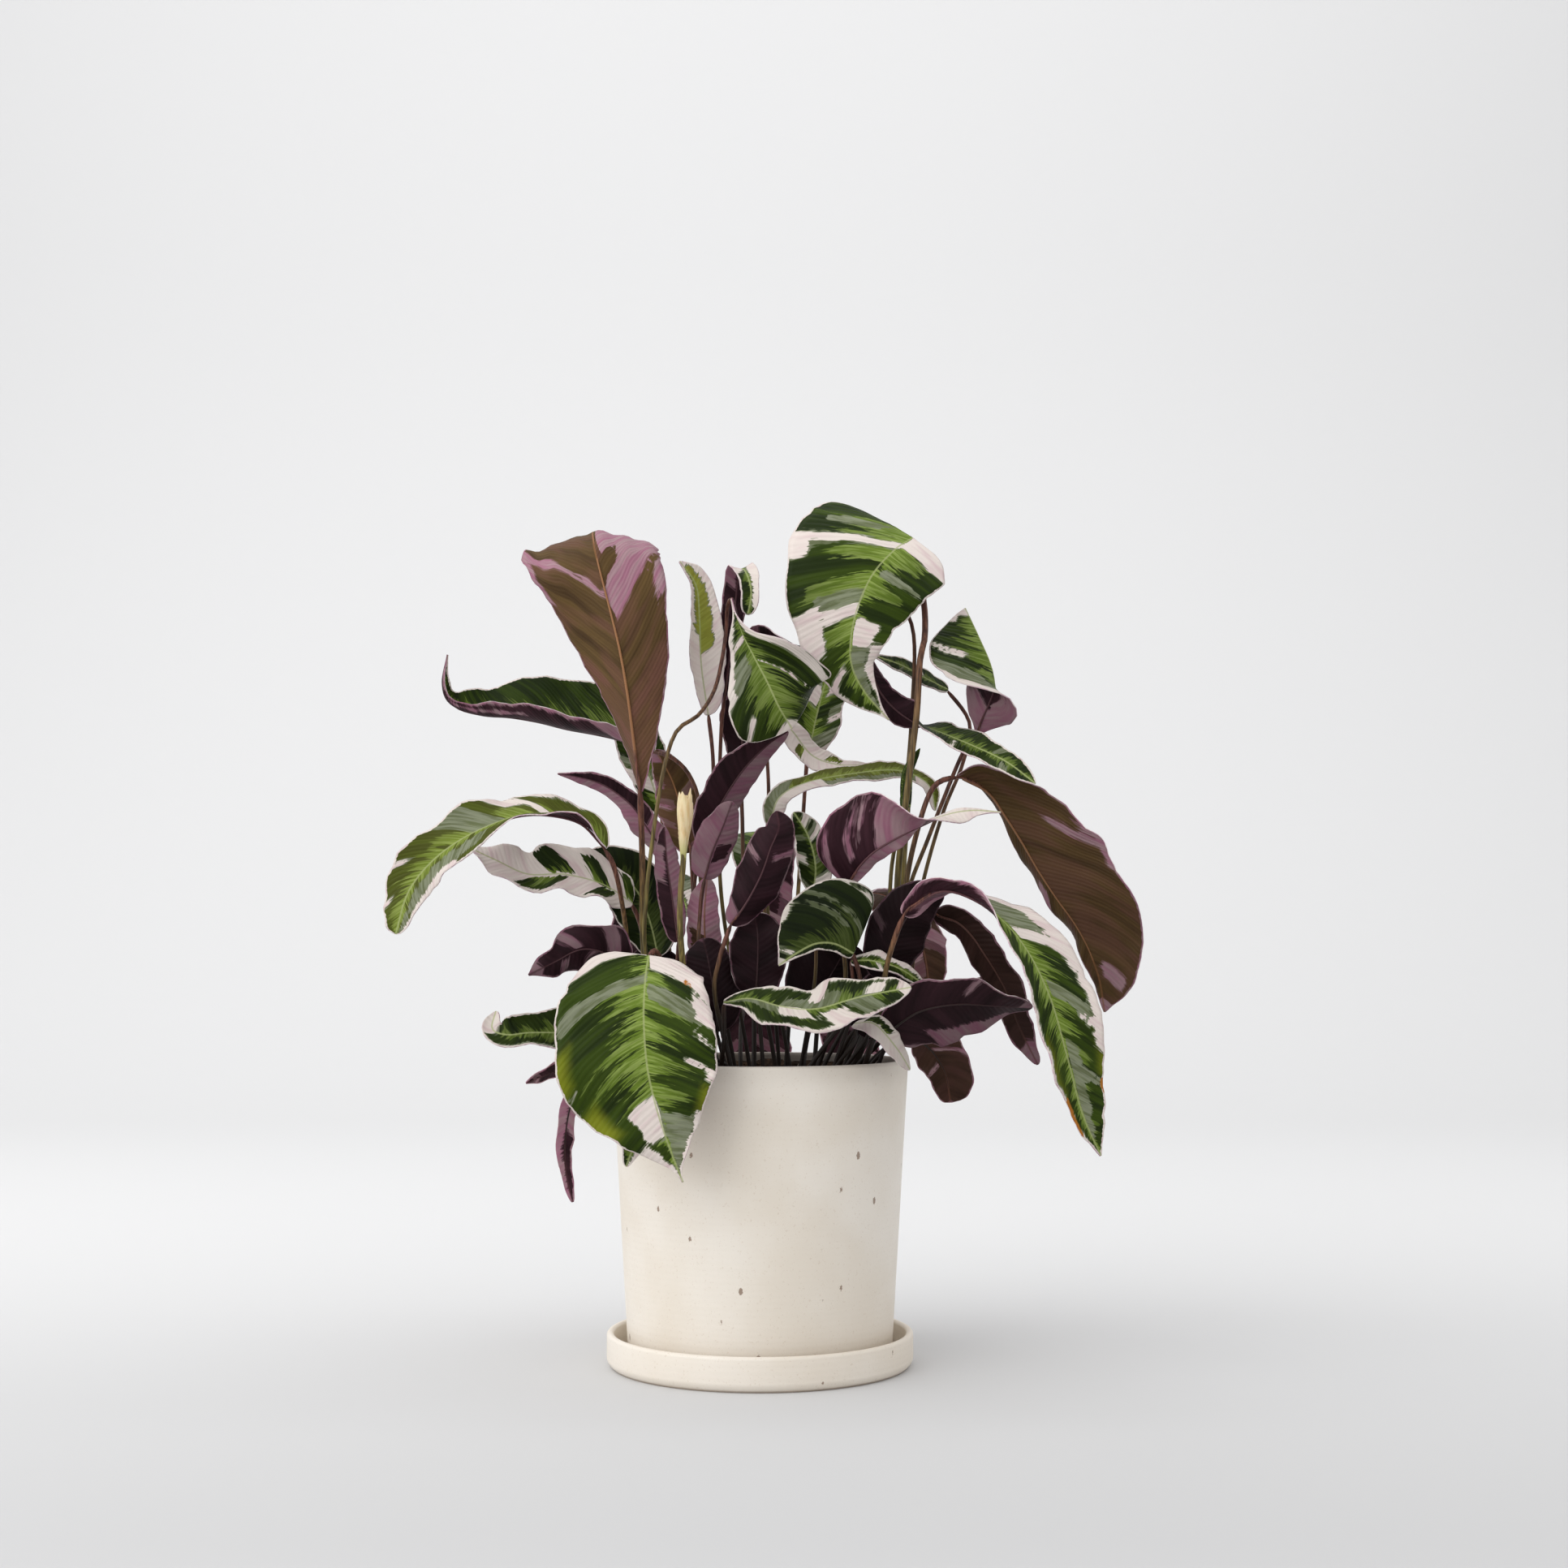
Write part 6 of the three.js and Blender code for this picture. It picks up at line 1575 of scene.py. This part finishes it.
class CupLine:
    """A line that turns back into the body near its end, so that a tube on it ends as a cup."""

    def __init__(self, line, rim):
        self.line = line
        self.length = line.length
        self.rim = rim

    def place(self, share):
        return self.line.place(min(share, 2 * self.rim - share))

    def forward(self, share):
        return self.line.forward(min(share, self.rim))


def ragged_lip(bm, layers, rim):
    """Pulls the mouth of the cup up and down round its turn."""
    for vert in bm.verts:
        near = 1 - abs(vert[layers["height_share"]] - rim) / LIP_REACH
        turn = vert[layers["blade"]].y
        rise = LIP_RISE * noise.noise((turn * LIP_WAVES, 3.0, 1.0))
        vert.co.z += max(0.0, near) * rise * MM


print("a spindle of 4 mm is", round(spindle_girth(0.0, 4.0, 0.6), 2), "mm at its foot")

# %% [markdown]
# One helper makes both pieces: the body first, in the first material, then the stalk in the
# second. The stalk comes out of the soil as a leaf's does and ends a little way inside the body.

# %% A body on its stalk
SPINDLE_STEPS = 48
SPINDLE_SIDES = 36
BODY_SKIN, STALK_SKIN = range(2)
STALK_INSIDE = 0.3
BODY_STALK_TAPER = 0.1
BODY_STALK_SHARE = 0.35


def body_stalk(root, stem, body):
    x, y = root
    inside = Vector(body[0]).lerp(Vector(body[1]), STALK_INSIDE)
    return Curve([(x, y, SOIL_TOP - STALK_DEPTH), (x, y, SOIL_TOP + STALK_UPRIGHT),
                  *stem, body[0], inside])


def spindle_piece(name, root, radius, fullest, stalk_width, stem, body, look, skins, fold,
                  rim=1.0):
    bm = bmesh.new()
    layers = pattern_layers(bm)
    line = Curve(body) if rim == 1 else CupLine(Curve(body), rim)
    roll_tube(bm, layers, line,
              lambda share, turn: spindle_girth(share, radius, fullest) * fold(share, turn),
              SPINDLE_SIDES, SPINDLE_STEPS, look, lambda share: share, BODY_SKIN)
    if rim < 1:
        ragged_lip(bm, layers, rim)
    roll_tube(bm, layers, body_stalk(root, stem, body),
              lambda share, _turn: stalk_width * (1 - BODY_STALK_TAPER * share),
              STALK_SIDES, STALK_STEPS, look, lambda share: BODY_STALK_SHARE * share, STALK_SKIN)
    piece = add_piece(name + "_fine", bake_mesh(name + "_fine", bm), skins)
    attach(piece, BODY)
    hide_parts(name)
    print(piece.name, len(piece.data.polygons), "faces")


# %% [markdown]
# The bud is cream with a green base and fine grain along its length. The saw-toothed fold makes
# each bract step down where the next one overlaps it.

# %% Flower bud
BUD_FOLDS = 3
BUD_FOLD_DEPTH = 0.16
BUD_TWIST = 1.3
BUD_RIM = 0.88
BUD_GRAIN = (700.0, 700.0, 90.0)


def bud_skin():
    recipe = Recipe("bud_skin")
    share = recipe.attribute("height_share").outputs["Fac"]
    grain = recipe.noise(recipe.place(BUD_GRAIN), 1.0, 3.0)
    cream = recipe.mix(recipe.ramp(grain, 0.35, 0.7), linear("dcc8a0"), linear("cbae7c"))
    green = linear("a9a860")
    recipe.set("Base Color", recipe.mix(recipe.ramp(share, 0.02, 0.35), green, cream))
    recipe.set("Roughness", 0.55)
    recipe.set("Subsurface Weight", 0.1)
    recipe.bump(grain, 0.0003, 0.7)
    return recipe.material


def bud_fold(share, turn):
    saw = (turn * BUD_FOLDS + share * BUD_TWIST) % 1.0
    return 1 + BUD_FOLD_DEPTH * (saw ** 2 - 0.4)


spindle_piece("flower_bud", root=(-34, -40), radius=4.2, fullest=0.68, stalk_width=1.7,
              stem=[(-41, -54, 230)], body=[(-39.5, -56, 267), (-38.5, -56, 306)],
              look=(0.31, 0.2, 0.2), skins=[bud_skin(), LEAF_FINISHES[STALK]],
              fold=bud_fold, rim=BUD_RIM)

# %% [markdown]
# The rolled leaf takes the finish of a leaf's upper face. Its one fold winds up the roll by
# four fifths of a turn, which is where the free edge of the blade lies.

# %% Rolled leaf
ROLL_STEP = 0.16
ROLL_TURNS = 0.8


def roll_fold(share, turn):
    saw = (turn + share * ROLL_TURNS) % 1.0
    return 1 + ROLL_STEP * (saw - 0.5)


spindle_piece("leaf_new_rolled", root=(50, 12), radius=3.4, fullest=0.35, stalk_width=2.8,
              stem=[(75, 14, 215), (78, 14, 270)],
              body=[(80, 14, 296), (81, 14, 318), (88, 13, 332)], look=(0.77, 0.5, 0.5),
              skins=[LEAF_FINISHES[UPPER], LEAF_FINISHES[STALK]],
              fold=roll_fold)

# %% [markdown]
# Pot and saucer are thrown in pale speckled stoneware with a thin satin glaze. The glaze is a warm
# off-white with faint clouds, a little darker near the foot. Its iron specks are round cells of a
# Voronoi pattern: a random draw on each cell decides which ones show and how large, and fine noise
# frays them. Under the rim the pot is a little greyer, as painted shadow of the leaves, and the
# inner wall above the soil is painted dark brown as shade. The foot is bare of glaze. Throwing
# rings and pebbling are only a bump.

# %% Stoneware glaze
SPECK_PITCH = 0.0085
SPECK_STRETCH = (1.0, 1.0, 0.6)
SPECK_SIZE = 0.15
SPECK_FRAY = 0.16
SHADED_BELOW = 0.05
RIM_SHADOW_BAND = (0.150, 0.163)
SHADED_INNER_WALL = (0.0772, 0.0756)
INNER_SHADE_HEIGHT = (0.135, 0.145)
BARE_FOOT = (0.0016, 0.001)
RING_TURN = 1900.0
RING_SHARE = 0.12


def iron_specks(recipe):
    """Share of speck: inside the round middles of the chosen cells."""
    dots = recipe.node("ShaderNodeTexVoronoi")
    recipe.join(recipe.place(SPECK_STRETCH), dots.inputs["Vector"])
    dots.inputs["Scale"].default_value = 1 / SPECK_PITCH
    chosen = recipe.split(dots.outputs["Color"])[0]
    size = recipe.times(recipe.ramp(chosen, 0.6, 1.0), SPECK_SIZE)
    fray = recipe.times(recipe.noise(recipe.place(), 1300.0, 3.0), SPECK_FRAY)
    inside = recipe.minus(size, recipe.plus(dots.outputs["Distance"], fray))
    return recipe.ramp(inside, -0.09, -0.05)


def inner_wall_shade(recipe):
    """Share of painted shade: inside the pot's wall and above the soil."""
    x, y, z = recipe.split(recipe.place())
    squared = recipe.plus(recipe.times(x, x), recipe.times(y, y))
    inner = recipe.ramp(recipe.math("SQRT", squared), *SHADED_INNER_WALL)
    return recipe.times(inner, recipe.ramp(z, *INNER_SHADE_HEIGHT))


def stoneware():
    recipe = Recipe("stoneware")
    place = recipe.place()
    height = recipe.split(place)[2]
    cloud = recipe.noise(place, 16.0, 4.0)
    glaze = recipe.mix(recipe.ramp(cloud, 0.35, 0.65), linear("e8e1d6"), linear("e1d8ca"))
    low = recipe.ramp(height, SHADED_BELOW, 0.0)
    glaze = recipe.mix(recipe.times(low, 0.2), glaze, linear("dccfbf"))
    glaze = recipe.mix(recipe.times(iron_specks(recipe), 0.75), glaze, linear("6e4826"))
    dust = recipe.ramp(recipe.noise(place, 900.0, 2.0), 0.62, 0.72)
    glaze = recipe.mix(recipe.times(dust, 0.22), glaze, linear("b39a7c"))
    # Painted shadow of the leaves: the top of the wall under the rim turns greyer.
    rim_shadow = recipe.ramp(recipe.plus(height, recipe.times(cloud, 0.006)), *RIM_SHADOW_BAND)
    glaze = recipe.mix(recipe.times(rim_shadow, 0.22), glaze, linear("a89c8c"))
    # Painted shade: the inner wall above the soil turns dark brown.
    glaze = recipe.mix(recipe.times(inner_wall_shade(recipe), 0.8), glaze, linear("4a3b30"))
    bare = recipe.ramp(recipe.plus(height, recipe.times(cloud, 0.0006)), *BARE_FOOT)
    recipe.set("Base Color", recipe.mix(recipe.times(bare, 0.5), glaze, linear("b39c86")))
    recipe.set("Roughness", recipe.plus(0.36, recipe.times(cloud, 0.25)))
    recipe.set("Specular IOR Level", 0.45)
    rings = recipe.math("SINE", recipe.times(height, RING_TURN))
    pebbled = recipe.noise(place, 260.0, 3.0)
    recipe.bump(recipe.plus(recipe.times(rings, RING_SHARE), pebbled), 0.0002, 0.5)
    return recipe.material


STONEWARE = stoneware()
print("glaze of", len(STONEWARE.node_tree.nodes), "nodes")

# %% [markdown]
# Each of the two is a profile of a few points spun round the axis, as on the wheel. The edges are
# rounded by a bevel of the profile's corners before the spin, and the long straight walls are cut
# into short ones, so that their faces stay nearly square. A profile that starts and ends on the
# axis is left open. The pot's goes all round its wall and its drain hole, and is closed.

# %% Spinning a profile
ROUND_STEPS = 144
CORNER_SEGMENTS = 5
LONGEST_WALL = 12
WALL_CUTS = 12


def spin_round(bm, steps):
    bmesh.ops.spin(bm, geom=list(bm.verts) + list(bm.edges), axis=(0, 0, 1), cent=(0, 0, 0),
                   steps=steps, angle=2 * math.pi, use_merge=True)
    bmesh.ops.remove_doubles(bm, verts=list(bm.verts), dist=SEAM_REACH)
    bmesh.ops.recalc_face_normals(bm, faces=list(bm.faces))


def draw_profile(bm, corners, closed=False):
    """Joins (radius, height) corners by edges, in the plane of the x and z axes."""
    verts = [bm.verts.new((radius * MM, 0, height * MM)) for radius, height in corners]
    following = verts[1:] + verts[:1] if closed else verts[1:]
    for first, second in zip(verts, following):
        bm.edges.new((first, second))
    return verts


def spun(name, profile, rounding, closed):
    """Spins a profile of (radius, height, rounded?) corners round the axis."""
    bm = bmesh.new()
    verts = draw_profile(bm, [corner[:2] for corner in profile], closed)
    soft = [vert for vert, corner in zip(verts, profile) if corner[2]]
    bmesh.ops.bevel(bm, geom=soft, offset=rounding * MM, segments=CORNER_SEGMENTS, profile=0.5,
                    affect="VERTICES", material=-1)
    long_edges = [edge for edge in bm.edges if edge.calc_length() > LONGEST_WALL * MM]
    bmesh.ops.subdivide_edges(bm, edges=long_edges, cuts=WALL_CUTS)
    spin_round(bm, ROUND_STEPS)
    return bake_mesh(name, bm)


# %% [markdown]
# The pot keeps its wall's straight taper from the base to the rim, which lies just inside the
# saucer's radius. The saucer is a shallow cup with an upright wall. The pot stands in it with a
# hair of air below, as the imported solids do.

# %% Pot and saucer
SAUCER_RADIUS = 82.0
SAUCER_HEIGHT = 18.0
SAUCER_WALL = 4.0
SAUCER_FLOOR = 5.0
SAUCER_FOOT_EDGE = 3.0
POT_RIM_RADIUS = 80.0
POT_BASE_RADIUS = 70.5
POT_RIM_HEIGHT = 162.0
POT_WALL = 5.0
POT_FLOOR = 7.0
DRAIN_RADIUS = 6.0
GAP = 0.3
ROUNDED_EDGE = 1.9
POT_BASE_HEIGHT = SAUCER_FLOOR + GAP
FLOOR_TOP = POT_BASE_HEIGHT + POT_FLOOR
SAUCER_INSIDE = SAUCER_RADIUS - SAUCER_WALL


def pot_radius(height):
    share = (height - POT_BASE_HEIGHT) / (POT_RIM_HEIGHT - POT_BASE_HEIGHT)
    return POT_BASE_RADIUS + (POT_RIM_RADIUS - POT_BASE_RADIUS) * share


def stoneware_piece(node, profile, closed):
    name = node + "_fine"
    piece = add_piece(name, spun(name, profile, ROUNDED_EDGE, closed), [STONEWARE])
    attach(piece, BODY)
    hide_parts(node)
    print(piece.name, len(piece.data.polygons), "faces")


pot_profile = [
    (DRAIN_RADIUS, POT_BASE_HEIGHT, True),
    (POT_BASE_RADIUS, POT_BASE_HEIGHT, True),
    (POT_RIM_RADIUS, POT_RIM_HEIGHT, True),
    (POT_RIM_RADIUS - POT_WALL, POT_RIM_HEIGHT, True),
    (pot_radius(FLOOR_TOP) - POT_WALL, FLOOR_TOP, True),
    (DRAIN_RADIUS, FLOOR_TOP, True),
]
saucer_profile = [
    (0, 0, False),
    (SAUCER_RADIUS - SAUCER_FOOT_EDGE, 0, False),
    (SAUCER_RADIUS, SAUCER_FOOT_EDGE, True),
    (SAUCER_RADIUS, SAUCER_HEIGHT, True),
    (SAUCER_INSIDE, SAUCER_HEIGHT, True),
    (SAUCER_INSIDE, SAUCER_FLOOR, True),
    (0, SAUCER_FLOOR, False),
]
stoneware_piece("pot", pot_profile, closed=True)
stoneware_piece("saucer", saucer_profile, closed=False)

# %% [markdown]
# The potting soil is dark and crumbly, with a few pale grains of grit. Large patches and fine
# grain, both noise, mix its browns. It is dull, so its specular level is low.

# %% Skins of the soil
SOIL_SKIN, GRIT_SKIN = range(2)


def soil_skin():
    recipe = Recipe("soil")
    grain = recipe.noise(recipe.place(), 300.0, 5.0, 0.65)
    patch = recipe.noise(recipe.place(), 60.0, 3.0)
    dark = recipe.mix(recipe.ramp(patch, 0.35, 0.65), linear("2a1f18"), linear("463527"))
    recipe.set("Base Color", recipe.mix(recipe.ramp(grain, 0.52, 0.75), dark, linear("6b5440")))
    recipe.set("Roughness", 0.95)
    recipe.set("Specular IOR Level", 0.15)
    recipe.bump(grain, 0.0012, 0.9)
    return recipe.material


def grit_skin():
    recipe = Recipe("soil_grit")
    grain = recipe.noise(recipe.place(), 500.0, 3.0)
    recipe.set("Base Color", recipe.mix(grain, linear("d8d0c2"), linear("b5a58e")))
    recipe.set("Roughness", 0.9)
    return recipe.material


SOIL_FINISHES = [soil_skin(), grit_skin()]
print("soil finishes:", [material.name for material in SOIL_FINISHES])

# %% [markdown]
# The soil fills the pot. Its top is the spun disc, raised and lowered by noise and banked up a
# little against the wall, as watering leaves it. It has many rings, because a spun disc has no
# other points that the noise could move.

# %% The bed of soil
SOIL_STEPS = 120
SOIL_RINGS = 46
SOIL_ROUGHNESS = 1.5
SOIL_SINK = 0.4
SOIL_TOLERANCE = 0.01
LUMPS_PER_METRE = 220
BANK_HEIGHT = 6.0
BANK_POWER = 8
SOIL_BOTTOM = FLOOR_TOP + GAP
SOIL_EDGE = pot_radius(SOIL_TOP) - POT_WALL - GAP


def bank(out):
    """How far the soil is banked up towards the wall."""
    return BANK_HEIGHT * (out / SOIL_EDGE) ** BANK_POWER


def soil_bed(bm):
    corners = [(0, SOIL_BOTTOM), (pot_radius(SOIL_BOTTOM) - POT_WALL - GAP, SOIL_BOTTOM)]
    corners.append((SOIL_EDGE, SOIL_TOP))
    for step in range(1, SOIL_RINGS + 1):
        corners.append((SOIL_EDGE * (1 - step / SOIL_RINGS), SOIL_TOP))
    draw_profile(bm, corners)
    spin_round(bm, SOIL_STEPS)
    for vert in [v for v in bm.verts if v.co.z > (SOIL_TOP - SOIL_TOLERANCE) * MM]:
        out = vert.co.xy.length / MM
        rough = noise.fractal(vert.co * LUMPS_PER_METRE, 0.9, 2.0, 4)
        vert.co.z += (SOIL_ROUGHNESS * rough - SOIL_SINK + bank(out)) * MM


print("the soil is", round(2 * SOIL_EDGE), "mm wide at its top")

# %% [markdown]
# Several hundred loose crumbs are half sunk in the bed. Each is a small ball of 20 faces, pressed
# flat and made uneven. Their places and sizes come from a seeded random source, and none is put
# where a stalk stands.

# %% Loose crumbs
SOIL_SEED = 11
CRUMBS = 620
CRUMB_SIZES = (0.7, 2.6)
SMALLEST_CRUMB = 0.4
CRUMB_FLATNESS = 0.75
CRUMB_UNEVENNESS = 0.35
CRUMB_RISE = 0.2
CRUMB_GRAIN = 600
CRUMB_SHAPES = 50
GRIT_CHANCE = 0.06
WALL_CLEARANCE = 3
STALK_CLEARANCE = 3.2


def crumb(bm, spot, out, size, shape_seed):
    ball = bmesh.ops.create_icosphere(bm, subdivisions=1, radius=size * MM)["verts"]
    height = SOIL_TOP + bank(out) + size * CRUMB_RISE
    for vert in ball:
        place = vert.co * (CRUMB_GRAIN / size) + Vector((shape_seed, 0, 0))
        vert.co *= 1 + CRUMB_UNEVENNESS * noise.noise(place)
        vert.co.z *= CRUMB_FLATNESS
        vert.co += Vector((spot.x, spot.y, height)) * MM
    return {face for vert in ball for face in vert.link_faces}


def scatter_crumbs(bm):
    rng = random.Random(SOIL_SEED)
    roots = [Vector(leaf.root) for leaf in LEAVES]
    for _ in range(CRUMBS):
        angle = rng.uniform(0, 2 * math.pi)
        out = (SOIL_EDGE - WALL_CLEARANCE) * math.sqrt(rng.random())
        size = rng.uniform(*CRUMB_SIZES) * rng.random() ** 0.5 + SMALLEST_CRUMB
        spot = Vector((out * math.cos(angle), out * math.sin(angle)))
        grit = rng.random() < GRIT_CHANCE
        shape_seed = rng.random() * CRUMB_SHAPES
        if min((spot - root).length for root in roots) < STALK_CLEARANCE:
            continue
        for face in crumb(bm, spot, out, size, shape_seed):
            face.material_index = GRIT_SKIN if grit else SOIL_SKIN


soil = bmesh.new()
soil_bed(soil)
scatter_crumbs(soil)
soil_piece = add_piece("soil_fine", bake_mesh("soil_fine", soil), SOIL_FINISHES)
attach(soil_piece, BODY)
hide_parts("soil")
print(soil_piece.name, len(soil_piece.data.polygons), "faces")
